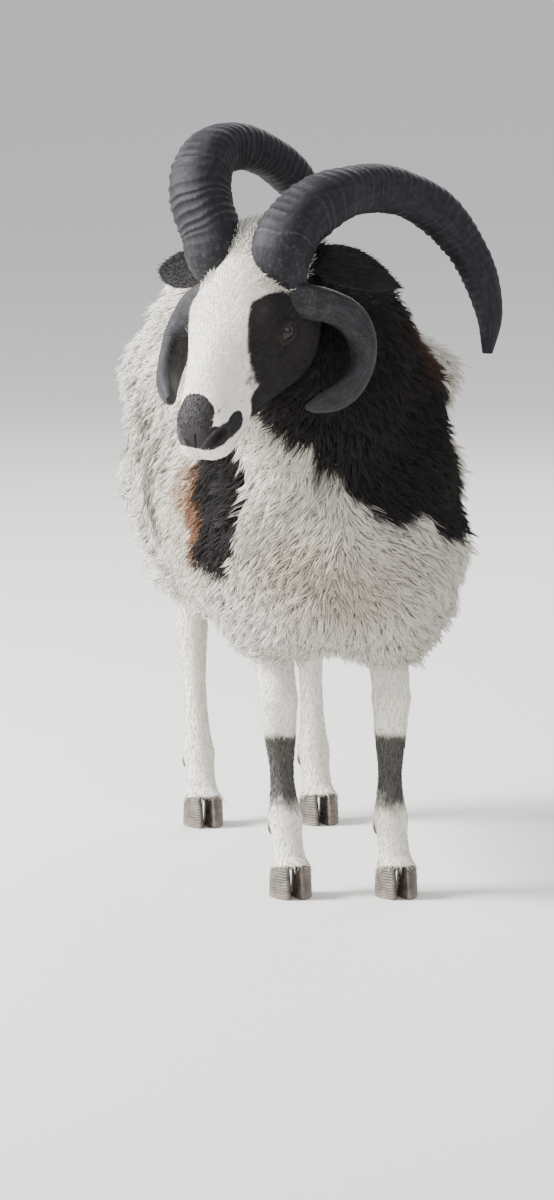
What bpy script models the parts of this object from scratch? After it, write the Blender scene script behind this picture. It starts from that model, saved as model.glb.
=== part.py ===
"""Four-horned Jacob ram, life size, standing still with its head lowered and turned to its right.

Metres, +Z up. The ram faces -Y and its left side is +X. The origin is on the floor under the
middle of the whole animal.
"""
import math
import random

import bmesh
import bpy
import numpy as np
from mathutils import Matrix, Vector

for old in list(bpy.data.objects):
    bpy.data.objects.remove(old, do_unlink=True)

GAP = 0.0003                # clearance kept between two pieces that touch
SWELL = 0.0005              # a cutter made from a faceted neighbour grows by this to leave about GAP
CENTRING = Vector((0.025, 0.069, 0.0))   # brings the middle of the whole animal over the origin

# Stance: where each foot stands, under its fetlock
FRONT_LEFT = Vector((0.068, -0.285, 0.0))
FRONT_RIGHT = Vector((-0.058, -0.262, 0.0))
HIND_LEFT = Vector((0.082, 0.262, 0.0))
HIND_RIGHT = Vector((-0.068, 0.272, 0.0))
LEAN = {"front_left": 0.0, "front_right": -0.06, "hind_left": 0.0, "hind_right": -0.02}

# Head: place of the poll, and how far the face is turned and lowered
POLL = Vector((-0.149, -0.500, 0.808))
HEAD_TURN = math.radians(41.0)
HEAD_DROP = math.radians(57.0)

WHITE_WOOL = (0.78, 0.74, 0.66)
BLACK_WOOL = (0.035, 0.028, 0.026)
BLACK_HAIR = (0.022, 0.019, 0.020)
WHITE_HAIR = (0.80, 0.77, 0.72)
DARK_HORN = (0.075, 0.072, 0.075)
HOOF_HORN = (0.10, 0.085, 0.07)
DARK_EYE = (0.05, 0.03, 0.015)


def finish(name, colour, roughness):
    material = bpy.data.materials.new(name)
    material.use_nodes = True
    shader = material.node_tree.nodes["Principled BSDF"]
    shader.inputs["Base Color"].default_value = (*colour, 1.0)
    shader.inputs["Roughness"].default_value = roughness
    shader.inputs["Metallic"].default_value = 0.0
    return material


def piece(name, mesh_data, material=None):
    """Puts a bmesh into the scene as one named object and frees it."""
    mesh = bpy.data.meshes.new(name)
    bmesh.ops.triangulate(mesh_data, faces=mesh_data.faces)
    bmesh.ops.recalc_face_normals(mesh_data, faces=mesh_data.faces)
    mesh_data.to_mesh(mesh)
    mesh_data.free()
    made = bpy.data.objects.new(name, mesh)
    bpy.context.scene.collection.objects.link(made)
    if material is not None:
        mesh.materials.append(material)
    mesh.shade_smooth()
    return made


def spline(points, count):
    """Points at even steps of the parameter on a smooth curve through the given tuples."""
    points = [tuple(p) for p in points]
    ends = [tuple(2 * a - b for a, b in zip(points[0], points[1]))]
    ends += points
    ends.append(tuple(2 * a - b for a, b in zip(points[-1], points[-2])))
    spans = len(points) - 1
    curve = []
    for step in range(count):
        at = step * spans / (count - 1)
        span = min(int(at), spans - 1)
        t = at - span
        p0, p1, p2, p3 = ends[span:span + 4]
        curve.append(tuple(
            0.5 * (2 * b + (c - a) * t + (2 * a - 5 * b + 4 * c - d) * t ** 2
                   + (3 * b - a - 3 * c + d) * t ** 3)
            for a, b, c, d in zip(p0, p1, p2, p3)))
    return curve


def oval(centre, side, up, half, top, bottom, square, sides, square_low=None):
    """One ring: half wide, reaching top above and bottom below its centre; square 2 is an ellipse."""
    points = []
    above, below = square, square_low or square
    for k in range(sides):
        angle = 2 * math.pi * (k + 0.5) / sides
        c, s = math.cos(angle), math.sin(angle)
        square = above if s > 0 else below
        x = half * math.copysign(abs(c) ** (2 / square), c)
        reach = top if s > 0 else bottom
        y = reach * math.copysign(abs(s) ** (2 / square), s)
        points.append(centre + side * x + up * y)
    return points


def loft(rings):
    """A closed skin over rings of equal count, each end filled to its own middle."""
    mesh_data = bmesh.new()
    loops = [[mesh_data.verts.new(p) for p in ring] for ring in rings]
    for low, high in zip(loops, loops[1:]):
        for k in range(len(low)):
            j = (k + 1) % len(low)
            mesh_data.faces.new((low[k], low[j], high[j], high[k]))
    for loop in (loops[0], loops[-1]):
        middle = mesh_data.verts.new(sum((v.co for v in loop), Vector()) / len(loop))
        for k in range(len(loop)):
            mesh_data.faces.new((loop[k], loop[(k + 1) % len(loop)], middle))
    return mesh_data


def tube(path, halves, heights, sides, reference, square=2.0):
    """Rings square to a path of points, widths across and along the reference direction."""
    rings = []
    for k, point in enumerate(path):
        before, after = path[max(k - 1, 0)], path[min(k + 1, len(path) - 1)]
        along = (after - before).normalized()
        side = along.cross(reference).normalized()
        up = side.cross(along).normalized()
        rings.append(oval(point, side, up, halves[k], heights[k], heights[k], square, sides))
    return loft(rings)


def swollen(source, by, name="clearance"):
    """A copy of a piece with each point moved out along its normal."""
    copy = source.copy()
    copy.data = source.data.copy()
    copy.name = name
    bpy.context.scene.collection.objects.link(copy)
    normals = [v.normal.copy() for v in source.data.vertices]
    for vertex, normal in zip(copy.data.vertices, normals):
        vertex.co += normal * by
    return copy


def keep_largest(target):
    """Leaves a piece only its largest closed surface."""
    mesh_data = bmesh.new()
    mesh_data.from_mesh(target.data)
    left = set(mesh_data.faces)
    shells = []
    while left:
        stack = [left.pop()]
        shell = list(stack)
        while stack:
            for edge in stack.pop().edges:
                for face in edge.link_faces:
                    if face in left:
                        left.remove(face)
                        stack.append(face)
                        shell.append(face)
        shells.append(shell)
    shells.sort(key=lambda shell: sum(face.calc_area() for face in shell))
    spare = [face for shell in shells[:-1] for face in shell]
    bmesh.ops.delete(mesh_data, geom=spare, context="FACES")
    mesh_data.to_mesh(target.data)
    mesh_data.free()


def combine(target, others, operation, solver="EXACT"):
    """Joins the others to a piece, or cuts them from it, and removes them."""
    group = bpy.data.collections.new("workpieces")
    for other in others:
        group.objects.link(other)
    step = target.modifiers.new(operation.lower(), "BOOLEAN")
    step.operation = operation
    step.solver = solver
    step.operand_type = "COLLECTION"
    step.collection = group
    graph = bpy.context.evaluated_depsgraph_get()
    graph.update()
    result = bpy.data.meshes.new_from_object(target.evaluated_get(graph))
    target.modifiers.clear()
    materials = list(target.data.materials)
    target.data = result
    result.materials.clear()
    for material in materials:
        result.materials.append(material)
    for other in others:
        bpy.data.objects.remove(other, do_unlink=True)
    bpy.data.collections.remove(group)
    keep_largest(target)
    target.data.shade_smooth()
    target.data.set_sharp_from_angle(angle=math.radians(50))


def slab(origin, normal, size=1.6):
    """A large box whose near face lies on a plane, reaching out along the plane's normal."""
    mesh_data = bmesh.new()
    bmesh.ops.create_cube(mesh_data, size=size)
    turn = Vector((0, 0, 1)).rotation_difference(normal).to_matrix().to_4x4()
    middle = origin + normal * (size / 2)
    bmesh.ops.transform(mesh_data, matrix=Matrix.Translation(middle) @ turn, verts=mesh_data.verts)
    return piece("half_space", mesh_data)


black_hair = finish("black_hair", BLACK_HAIR, 0.75)
white_hair = finish("white_hair", WHITE_HAIR, 0.80)
white_wool = finish("white_wool", WHITE_WOOL, 0.95)
black_wool = finish("black_wool", BLACK_WOOL, 0.95)
dark_horn = finish("dark_horn", DARK_HORN, 0.55)
hoof_horn = finish("hoof_horn", HOOF_HORN, 0.60)
dark_eye = finish("dark_eye", DARK_EYE, 0.10)

# The head's own axes: along the face to the nose, to the ram's left, and up off the forehead
FORWARD = Vector((-math.sin(HEAD_TURN) * math.cos(HEAD_DROP),
                  -math.cos(HEAD_TURN) * math.cos(HEAD_DROP), -math.sin(HEAD_DROP)))
LEFTWARD = Vector((math.cos(HEAD_TURN), -math.sin(HEAD_TURN), 0.0))
UPWARD = FORWARD.cross(LEFTWARD)


def on_head(along, left, up):
    return POLL + FORWARD * along + LEFTWARD * left + UPWARD * up


# Legs. Each row: height, distance behind the fetlock, half width, half depth
FRONT_LEG = ((0.400, 0.045, 0.040, 0.056), (0.330, 0.035, 0.034, 0.044), (0.285, 0.018, 0.026, 0.032),
             (0.256, 0.004, 0.0235, 0.0270), (0.236, 0.000, 0.0240, 0.0265),
             (0.214, 0.002, 0.0195, 0.0230), (0.182, 0.006, 0.0160, 0.0190),
             (0.140, 0.007, 0.0155, 0.0180), (0.112, 0.005, 0.0180, 0.0205),
             (0.091, 0.001, 0.0212, 0.0230), (0.070, -0.010, 0.0190, 0.0195),
             (0.050, -0.022, 0.0195, 0.0200), (0.034, -0.033, 0.0235, 0.0260))
HIND_LEG = ((0.430, -0.060, 0.050, 0.080), (0.360, -0.020, 0.036, 0.056), (0.312, 0.014, 0.025, 0.040),
            (0.278, 0.034, 0.0215, 0.0340), (0.250, 0.036, 0.0220, 0.0310),
            (0.220, 0.030, 0.0190, 0.0250), (0.180, 0.021, 0.0160, 0.0195),
            (0.140, 0.012, 0.0160, 0.0185), (0.112, 0.005, 0.0180, 0.0205),
            (0.091, 0.001, 0.0212, 0.0230), (0.070, -0.010, 0.0190, 0.0195),
            (0.050, -0.022, 0.0195, 0.0200), (0.034, -0.033, 0.0235, 0.0260))
CORONET_SLOPE = 0.22        # how fast the top of the hoof falls from toe to heel
LEG_SIDES = 12


def leg(name, foot, profile, lean):
    rings = []
    for height, behind, half, deep in profile:
        tilt = CORONET_SLOPE if height < 0.04 else 0.0
        middle = foot + Vector((lean * max(height - 0.09, 0.0), behind, height))
        depth = Vector((0.0, 1.0, -tilt))
        rings.append(oval(middle, Vector((1, 0, 0)), depth, half, deep, deep, 2.0, LEG_SIDES))
    shank = piece(name, loft(rings), white_hair)
    dewclaws = []
    for side in (-1, 1):
        knob = bmesh.new()
        bmesh.ops.create_icosphere(knob, subdivisions=1, radius=1.0)
        shape = Matrix.Diagonal((0.0075, 0.008, 0.0105, 1.0))
        place = Matrix.Translation(foot + Vector((side * 0.0135, 0.019, 0.078)))
        bmesh.ops.transform(knob, matrix=place @ shape, verts=knob.verts)
        dewclaws.append(piece("dewclaw", knob))
    combine(shank, dewclaws, "UNION")
    return shank


# Claws, two to a foot
CLAW_SIDES = 12
CLAW_HALF = 0.0122
CLAW_SPLIT = 0.0012         # half the cleft between two claws
CLAW_RINGS = ((0.0, 0.0345, 0.0270, 1.00), (0.014, 0.0325, 0.0265, 0.98), (0.0337, 0.0260, 0.0260, 0.90))


def claw(name, foot, side):
    """Each ring: height, reach to the toe, reach to the heel, part of the full width."""
    rings = []
    for height, toe, heel, wide in CLAW_RINGS:
        ring = []
        for k in range(CLAW_SIDES):
            angle = 2 * math.pi * (k + 0.5) / CLAW_SIDES
            c, s = math.cos(angle), math.sin(angle)
            out = CLAW_HALF * wide * (c + 1.0) * (1.0 if s > 0 else 1.0 - 0.35 * s * s)
            y = heel * s if s > 0 else toe * s
            slope = CORONET_SLOPE if height > 0.02 else 0.0
            x = side * (CLAW_SPLIT + out)
            ring.append(foot + Vector((x, y - 0.033, height - slope * y - (GAP if slope else 0.0))))
        rings.append(ring)
    return piece(name, loft(rings), hoof_horn)


feet = {"front_left": (FRONT_LEFT, FRONT_LEG), "front_right": (FRONT_RIGHT, FRONT_LEG),
        "hind_left": (HIND_LEFT, HIND_LEG), "hind_right": (HIND_RIGHT, HIND_LEG)}
legs = []
for place, (foot, profile) in feet.items():
    legs.append(leg("leg_" + place, foot, profile, LEAN[place]))
    for side, word in ((-1, "right"), (1, "left")):
        claw("hoof_" + place + "_claw_" + word, foot, side)

# Horns. Each row: centre on the head's axes, half width, half depth
UPPER_LEFT_HORN = ((0.026, 0.038, -0.040, 0.026, 0.026), (0.010, 0.042, -0.014, 0.034, 0.034),
                   (-0.019, 0.045, -0.008, 0.0350, 0.0365), (-0.057, 0.054, -0.020, 0.0335, 0.0345),
                   (-0.098, 0.068, -0.050, 0.0300, 0.0315), (-0.140, 0.081, -0.110, 0.0275, 0.0285),
                   (-0.159, 0.101, -0.175, 0.0265, 0.0265), (-0.153, 0.120, -0.227, 0.0250, 0.0250),
                   (-0.129, 0.137, -0.280, 0.0215, 0.0215), (-0.091, 0.147, -0.322, 0.016, 0.016),
                   (-0.050, 0.146, -0.347, 0.006, 0.006))
UPPER_RIGHT_HORN = ((0.028, -0.038, -0.040, 0.026, 0.026), (0.012, -0.044, -0.014, 0.034, 0.034),
                    (-0.012, -0.052, 0.002, 0.0335, 0.0355), (-0.042, -0.068, 0.015, 0.0345, 0.036),
                    (-0.078, -0.078, 0.019, 0.0335, 0.0345), (-0.118, -0.081, 0.004, 0.0305, 0.032),
                    (-0.151, -0.078, -0.041, 0.026, 0.028), (-0.166, -0.068, -0.098, 0.0245, 0.026),
                    (-0.167, -0.061, -0.152, 0.0225, 0.0235), (-0.157, -0.053, -0.199, 0.018, 0.018),
                    (-0.138, -0.046, -0.228, 0.007, 0.007))
SIDE_LEFT_HORN = ((0.050, 0.030, -0.036, 0.022, 0.024), (0.043, 0.058, -0.056, 0.021, 0.022),
                  (0.034, 0.077, -0.082, 0.020, 0.0195), (0.032, 0.091, -0.112, 0.0195, 0.017),
                  (0.045, 0.100, -0.136, 0.0190, 0.015), (0.070, 0.105, -0.147, 0.0180, 0.013),
                  (0.102, 0.106, -0.141, 0.0170, 0.0115), (0.131, 0.103, -0.122, 0.0150, 0.010),
                  (0.154, 0.096, -0.098, 0.0110, 0.0075), (0.166, 0.091, -0.084, 0.0040, 0.003))
SIDE_RIGHT_HORN = ((0.052, -0.030, -0.038, 0.022, 0.023), (0.048, -0.060, -0.054, 0.021, 0.0215),
                   (0.046, -0.088, -0.078, 0.020, 0.0195), (0.050, -0.110, -0.101, 0.0195, 0.017),
                   (0.062, -0.124, -0.116, 0.0190, 0.015), (0.088, -0.128, -0.122, 0.0180, 0.013),
                   (0.115, -0.122, -0.115, 0.0170, 0.0115), (0.140, -0.110, -0.101, 0.0150, 0.010),
                   (0.158, -0.098, -0.088, 0.0110, 0.0075), (0.167, -0.091, -0.080, 0.0040, 0.003))
HORN_SIDES = 12
RIDGE = 0.045               # how much a growth ring stands out, as part of the radius


def horn(name, rows, rings):
    points = spline(rows, rings)
    path = [on_head(*row[:3]) for row in points]
    grown = []
    for k in range(rings):
        fade = min(1.0, 6.0 * (1 - k / rings))
        grown.append(1.0 + RIDGE * (0.5 if k % 2 else -0.5) * fade)
    halves = [row[3] * g for row, g in zip(points, grown)]
    heights = [row[4] * g for row, g in zip(points, grown)]
    return piece(name, tube(path, halves, heights, HORN_SIDES, LEFTWARD, 2.2), dark_horn)


upper_horns = [horn("horn_upper_left", UPPER_LEFT_HORN, 28), horn("horn_upper_right", UPPER_RIGHT_HORN, 26)]
side_horns = [horn("horn_side_left", SIDE_LEFT_HORN, 20), horn("horn_side_right", SIDE_RIGHT_HORN, 20)]
combine(upper_horns[1], [swollen(upper_horns[0], SWELL)], "DIFFERENCE", "MANIFOLD")
for side_horn in side_horns:
    combine(side_horn, [swollen(p, SWELL) for p in upper_horns], "DIFFERENCE", "MANIFOLD")
horns = upper_horns + side_horns

# Ears: a folded leaf, open towards the front and side
EAR_LENGTH = 0.100
EAR_HALF = 0.025
EAR_THICK = 0.0045
EAR_CURL = 1.25             # half the angle that the leaf is rolled through at its root
EAR_AIM = {1: (0.90, 0.40, -0.04), -1: (0.95, 0.14, 0.27)}   # how far out, back and down each points


def ear(name, side):
    root = on_head(-0.010 if side > 0 else 0.002, side * 0.050, -0.056)
    sideways, backwards, downwards = EAR_AIM[side]
    out = (LEFTWARD * side * sideways + FORWARD * downwards - UPWARD * backwards).normalized()
    across = (FORWARD * 0.92 + UPWARD * 0.30).normalized()
    face = out.cross(across).normalized() * -side
    across = face.cross(out).normalized()
    mesh_data = bmesh.new()
    columns, rows = 7, 8
    front, back = {}, {}
    for i in range(rows):
        t = i / (rows - 1)
        half = EAR_HALF * (0.42 + 1.55 * t * (1 - t) + 0.40 * t) * (1 - t ** 5) ** 0.6 + 0.0015
        fold = EAR_CURL * (1.0 - 0.62 * t)
        spread = half / max(math.sin(fold), 0.4)
        for j in range(columns):
            u = 2 * j / (columns - 1) - 1
            place = root + out * (EAR_LENGTH * t) + across * (spread * math.sin(fold * u))
            place += face * (half * (1 - math.cos(fold * u)))
            thick = EAR_THICK * (1.0 - 0.55 * abs(u)) * (1.0 - 0.45 * t)
            front[i, j] = mesh_data.verts.new(place + face * thick / 2)
            back[i, j] = mesh_data.verts.new(place - face * thick / 2)
    for i in range(rows - 1):
        for j in range(columns - 1):
            a, b, c, d = (i, j), (i, j + 1), (i + 1, j + 1), (i + 1, j)
            for p, q, r in ((a, b, c), (a, c, d)):
                mesh_data.faces.new((front[p], front[q], front[r]))
                mesh_data.faces.new((back[p], back[r], back[q]))
    rim = [(0, j) for j in range(columns)] + [(i, columns - 1) for i in range(1, rows)]
    rim += [(rows - 1, j) for j in range(columns - 2, -1, -1)] + [(i, 0) for i in range(rows - 2, 0, -1)]
    for p, q in zip(rim, rim[1:] + rim[:1]):
        mesh_data.faces.new((front[p], back[p], back[q], front[q]))
    return piece(name, mesh_data, black_hair)


ears = [ear("ear_left", 1), ear("ear_right", -1)]
for leaf in ears:
    combine(leaf, [swollen(p, SWELL) for p in horns], "DIFFERENCE", "MANIFOLD")

# Head. Each row: distance along the face, half width, reach up, reach down, squareness
HEAD_RINGS = ((-0.046, 0.022, -0.030, 0.070, 2.0), (-0.036, 0.042, -0.012, 0.096, 2.0),
              (-0.016, 0.054, 0.002, 0.118, 2.2), (0.010, 0.060, 0.008, 0.132, 2.3),
              (0.040, 0.063, 0.009, 0.140, 2.3), (0.068, 0.066, 0.009, 0.143, 2.3),
              (0.092, 0.067, 0.008, 0.141, 2.3), (0.116, 0.061, 0.007, 0.132, 2.3),
              (0.140, 0.052, 0.006, 0.116, 2.3), (0.164, 0.045, 0.005, 0.099, 2.3),
              (0.186, 0.040, 0.003, 0.087, 2.3), (0.206, 0.0375, -0.001, 0.080, 2.4),
              (0.224, 0.0360, -0.006, 0.075, 2.4), (0.240, 0.0325, -0.013, 0.070, 2.4),
              (0.252, 0.0260, -0.022, 0.064, 2.4), (0.259, 0.0150, -0.031, 0.055, 2.2))
HEAD_SIDES = 20
EYE_RADIUS = 0.0140
EYE_PLACE = (0.092, 0.0570, -0.038)


def head_form(name):
    rings = []
    for along, half, top, bottom, square in HEAD_RINGS:
        middle = (top - bottom) / 2
        reach = (top + bottom) / 2
        rings.append(oval(on_head(along, 0.0, middle), LEFTWARD, UPWARD, half, reach, reach, square,
                          HEAD_SIDES))
    return piece(name, loft(rings), white_hair)


def ball(name, centre, radius, segments=12, rings=8, material=None):
    mesh_data = bmesh.new()
    bmesh.ops.create_uvsphere(mesh_data, u_segments=segments, v_segments=rings, radius=radius)
    bmesh.ops.translate(mesh_data, verts=mesh_data.verts, vec=centre)
    return piece(name, mesh_data, material)


# Lids: an oval welt round each eye. Mouth: a groove round the muzzle. Nostrils: slanting slots
LID_SIDES = 12
LID_RING = 0.0150
LID_THICK = 0.0042
MOUTH_DEEP = 0.0035
MOUTH_HALF = 0.0013
MOUTH_WIDE = 0.060
MOUTH_LINE = ((0.270, -0.0475), (0.252, -0.0470), (0.230, -0.0485), (0.208, -0.0540), (0.192, -0.0600))
NOSTRIL_PLACE = (0.2430, 0.0165, -0.0175)
NOSTRIL_SIZE = (0.0100, 0.0035, 0.0075)


def lid(side):
    mesh_data = bmesh.new()
    loops = []
    for k in range(LID_SIDES):
        turn = 2 * math.pi * k / LID_SIDES
        outward = Vector((math.cos(turn) * 1.15, math.sin(turn) * 0.85, 0.0)) * LID_RING
        loops.append([])
        for j in range(6):
            bend = 2 * math.pi * j / 6
            grown = 1.0 + LID_THICK * math.cos(bend) / LID_RING
            local = outward * grown + Vector((0.0, 0.0, LID_THICK * math.sin(bend)))
            loops[-1].append(mesh_data.verts.new(local))
    for low, high in zip(loops, loops[1:] + loops[:1]):
        for j in range(6):
            mesh_data.faces.new((low[j], low[(j + 1) % 6], high[(j + 1) % 6], high[j]))
    along, out, up = EYE_PLACE
    outward = (LEFTWARD * side * 0.86 + UPWARD * 0.42 + FORWARD * 0.28).normalized()
    length = (FORWARD - outward * FORWARD.dot(outward)).normalized()
    place = Matrix((length, outward.cross(length), outward)).transposed().to_4x4()
    place.translation = on_head(along, side * out, up) + outward * (EYE_RADIUS * 0.58)
    bmesh.ops.transform(mesh_data, matrix=place, verts=mesh_data.verts)
    return piece("lid", mesh_data)


def mouth_groove():
    """A thin bent slab across the muzzle, hollowed so that it only scores the surface."""
    rows = []
    for along, up in spline(MOUTH_LINE, 11):
        low, high = up - MOUTH_HALF, up + MOUTH_HALF
        corners = ((-MOUTH_WIDE, low), (MOUTH_WIDE, low), (MOUTH_WIDE, high), (-MOUTH_WIDE, high))
        rows.append([on_head(along, across, rise) for across, rise in corners])
    groove = piece("groove", loft(rows))
    combine(groove, [swollen(head, -MOUTH_DEEP)], "DIFFERENCE", "MANIFOLD")
    return groove


def nostril(side):
    knob = bmesh.new()
    bmesh.ops.create_uvsphere(knob, u_segments=10, v_segments=6, radius=1.0)
    out, up = LEFTWARD * side, UPWARD
    length = (FORWARD * 0.55 - UPWARD * 0.35 + out * 0.75).normalized()
    width = length.cross(FORWARD).normalized()
    axes = (length, width, length.cross(width))
    place = Matrix([a * size for a, size in zip(axes, NOSTRIL_SIZE)]).transposed().to_4x4()
    along, across, rise = NOSTRIL_PLACE
    place.translation = on_head(along, side * across, rise)
    bmesh.ops.transform(knob, matrix=place, verts=knob.verts)
    return piece("nostril", knob)


head = head_form("head")
skull = swollen(head, SWELL, "skull_clearance")
eyes = []
for side, word in ((1, "left"), (-1, "right")):
    along, out, up = EYE_PLACE
    eyes.append(ball("eye_" + word, on_head(along, side * out, up), EYE_RADIUS, material=dark_eye))
grooves = [mouth_groove(), nostril(1), nostril(-1)]
combine(head, [lid(1), lid(-1)], "UNION", "MANIFOLD")
combine(head, grooves + [swollen(p, SWELL) for p in horns + ears + eyes], "DIFFERENCE", "MANIFOLD")

# Torso. Each row: place along the back, half width, top, bottom, height of the widest part,
# squareness above and below it
TORSO_RINGS = (
    (-0.440, 0.045, 0.560, 0.420, 0.480, 2.0, 2.0), (-0.428, 0.090, 0.612, 0.360, 0.470, 2.0, 2.1),
    (-0.398, 0.138, 0.668, 0.308, 0.462, 1.85, 2.3), (-0.345, 0.170, 0.718, 0.284, 0.455, 1.62, 2.5),
    (-0.270, 0.186, 0.757, 0.270, 0.455, 1.46, 2.6), (-0.180, 0.190, 0.773, 0.264, 0.460, 1.46, 2.6),
    (-0.080, 0.191, 0.774, 0.262, 0.470, 1.56, 2.5), (0.020, 0.192, 0.773, 0.266, 0.485, 1.70, 2.4),
    (0.115, 0.193, 0.775, 0.277, 0.500, 1.80, 2.3), (0.200, 0.191, 0.779, 0.299, 0.520, 1.85, 2.2),
    (0.280, 0.177, 0.775, 0.336, 0.540, 1.90, 2.1), (0.345, 0.150, 0.754, 0.387, 0.555, 2.0, 2.0),
    (0.392, 0.110, 0.722, 0.445, 0.575, 2.0, 2.0), (0.416, 0.067, 0.680, 0.505, 0.590, 2.0, 2.0),
    (0.424, 0.030, 0.635, 0.555, 0.595, 2.0, 2.0))
TORSO_SIDES = 26

# Woolly upper legs. Each row: height, half width, half depth, distance behind the fetlock
SHOULDER_WOOL = ((0.520, 0.070, 0.080, 0.030), (0.440, 0.092, 0.100, 0.030), (0.370, 0.094, 0.098, 0.026),
                 (0.320, 0.086, 0.088, 0.020), (0.285, 0.068, 0.070, 0.012), (0.262, 0.042, 0.045, 0.005))
HAUNCH_WOOL = ((0.600, 0.060, 0.085, -0.010), (0.520, 0.088, 0.120, -0.005), (0.430, 0.086, 0.118, 0.005),
               (0.360, 0.072, 0.098, 0.018), (0.300, 0.052, 0.070, 0.028), (0.268, 0.034, 0.046, 0.034))

CORE_DROP = 0.030           # the core lies half way down the wool
CLUMP_SIDES = 6
CLUMP_SPACE = 0.092
CLUMP_HALF = (0.058, 0.068)
NECK_CLUMP_SPACE = 0.072
NECK_CLUMP_HALF = (0.046, 0.054)
SAMPLES = 6000              # places tried on a core for the roots of its clumps
EVENING_ROUNDS = 6          # each round moves every root to the middle of the places nearest to it


def clump(place, outward, half, rise, rng):
    """A rounded lock of fleece: a low dome with its root sunk in the core."""
    mesh_data = bmesh.new()
    bmesh.ops.create_uvsphere(mesh_data, u_segments=CLUMP_SIDES, v_segments=4, radius=1.0)
    lean = Vector((rng.uniform(-0.2, 0.2), rng.uniform(0.0, 0.25), -0.22))
    axis = (outward + lean - outward * outward.dot(lean)).normalized()
    turn = Vector((0, 0, 1)).rotation_difference(axis).to_matrix().to_4x4()
    spin = Matrix.Rotation(rng.uniform(0, math.pi), 4, "Z")
    sink = rise * 0.55
    shape = Matrix.Diagonal((half, half * rng.uniform(0.88, 1.12), rise + sink, 1.0))
    middle = place - outward * sink
    bmesh.ops.transform(mesh_data, matrix=Matrix.Translation(middle) @ turn @ spin @ shape,
                        verts=mesh_data.verts)
    return piece("clump", mesh_data)


def shorter_on_legs(place):
    """The fleece shortens down each upper leg: its part of the full size."""
    return min(1.0, max(0.5, 0.5 + 0.5 * (place.z - 0.27) / 0.09))


def fleece(core, seed, space, halves, rise, scale_at):
    """Rounded clumps set close and evenly over a core, sized by scale_at, then fused with it."""
    rng = random.Random(seed)
    mesh = core.data
    mesh.calc_loop_triangles()
    triangles = [([mesh.vertices[k].co for k in t.vertices], t.normal.copy(), t.area)
                 for t in mesh.loop_triangles]
    samples = []
    for corners, normal, _ in rng.choices(triangles, weights=[t[2] for t in triangles], k=SAMPLES):
        u, v = sorted((rng.random(), rng.random()))
        place = corners[0] * u + corners[1] * (v - u) + corners[2] * (1 - v)
        scale = float(scale_at(place))
        if scale:
            samples.append((place, normal, scale))
    spots = []
    for k, (place, _, scale) in enumerate(samples):
        if all((place - samples[j][0]).length > space * (scale + samples[j][2]) / 2 for j in spots):
            spots.append(k)
    places = np.array([sample[0] for sample in samples])
    scales = np.array([sample[2] for sample in samples])
    for _ in range(EVENING_ROUNDS):
        apart = np.linalg.norm(places[:, None] - places[spots][None], axis=2) / scales[spots]
        nearest = apart.argmin(axis=1)
        middles = [places[nearest == j].mean(axis=0) for j in range(len(spots))]
        spots = [int(np.linalg.norm(places - middle, axis=1).argmin()) for middle in middles]
    clumps = []
    for place, normal, scale in (samples[k] for k in spots):
        half = scale * rng.uniform(*halves)
        clumps.append(clump(place, normal, half, scale * rise * rng.uniform(0.92, 1.04), rng))
    combine(core, clumps, "UNION", "MANIFOLD")


def barrel(name, less):
    rings = []
    for along, half, top, bottom, middle, square, square_low in TORSO_RINGS:
        rings.append(oval(Vector((0.0, along * (1 - less / 0.43), middle)), Vector((1, 0, 0)),
                          Vector((0, 0, 1)), half - less * min(1, half / 0.1), top - middle - less,
                          middle - bottom - less, square, TORSO_SIDES, square_low))
    return piece(name, loft(rings), white_wool)


def woolly_limb(name, foot, rows, inset):
    """The upper leg inside the fleece, drawn a little towards the middle of the body."""
    rings = []
    for height, half, deep, behind in rows:
        middle = Vector((foot.x * (1.0 + inset * (height - 0.25)), foot.y + behind, height))
        less = min(CORE_DROP, 0.3 * half)
        rings.append(oval(middle, Vector((1, 0, 0)), Vector((0, 1, 0)), half - less, deep - less,
                          deep - less, 2.0, 14))
    return piece(name, loft(rings))


# Neck, from between the shoulders to behind the head. Each row: centre, half width, half height
NECK_ROWS = ((0.000, -0.220, 0.555, 0.168, 0.205), (-0.012, -0.300, 0.595, 0.152, 0.185),
             (-0.042, -0.362, 0.640, 0.122, 0.158), (-0.082, -0.415, 0.687, 0.092, 0.126),
             (-0.112, -0.457, 0.720, 0.070, 0.098), (-0.124, -0.484, 0.738, 0.054, 0.076))
NECK_SEAM = Vector((-0.020, -0.345, 0.665))
NECK_AXIS = Vector((-0.36, -0.78, 0.44)).normalized()
NECK_DROP = 0.024
NECK_BARE = 0.040           # length behind the head that is left to the head's own short hair


def neck_form(name, less, material=None):
    rows = spline(NECK_ROWS, 10)
    path = [Vector(row[:3]) for row in rows]
    return piece(name, tube(path, [row[3] - less for row in rows], [row[4] - less for row in rows], 18,
                            Vector((0, 0, 1))), material)


torso = barrel("torso", CORE_DROP)
limbs = [woolly_limb("shoulder", FRONT_LEFT, SHOULDER_WOOL, 1.4),
         woolly_limb("shoulder", FRONT_RIGHT, SHOULDER_WOOL, 2.6),
         woolly_limb("haunch", HIND_LEFT, HAUNCH_WOOL, 1.0),
         woolly_limb("haunch", HIND_RIGHT, HAUNCH_WOOL, 1.6)]
combine(torso, limbs + [neck_form("neck_root", CORE_DROP)], "UNION", "MANIFOLD")
fleece(torso, 5, CLUMP_SPACE, CLUMP_HALF, CORE_DROP, shorter_on_legs)

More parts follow.
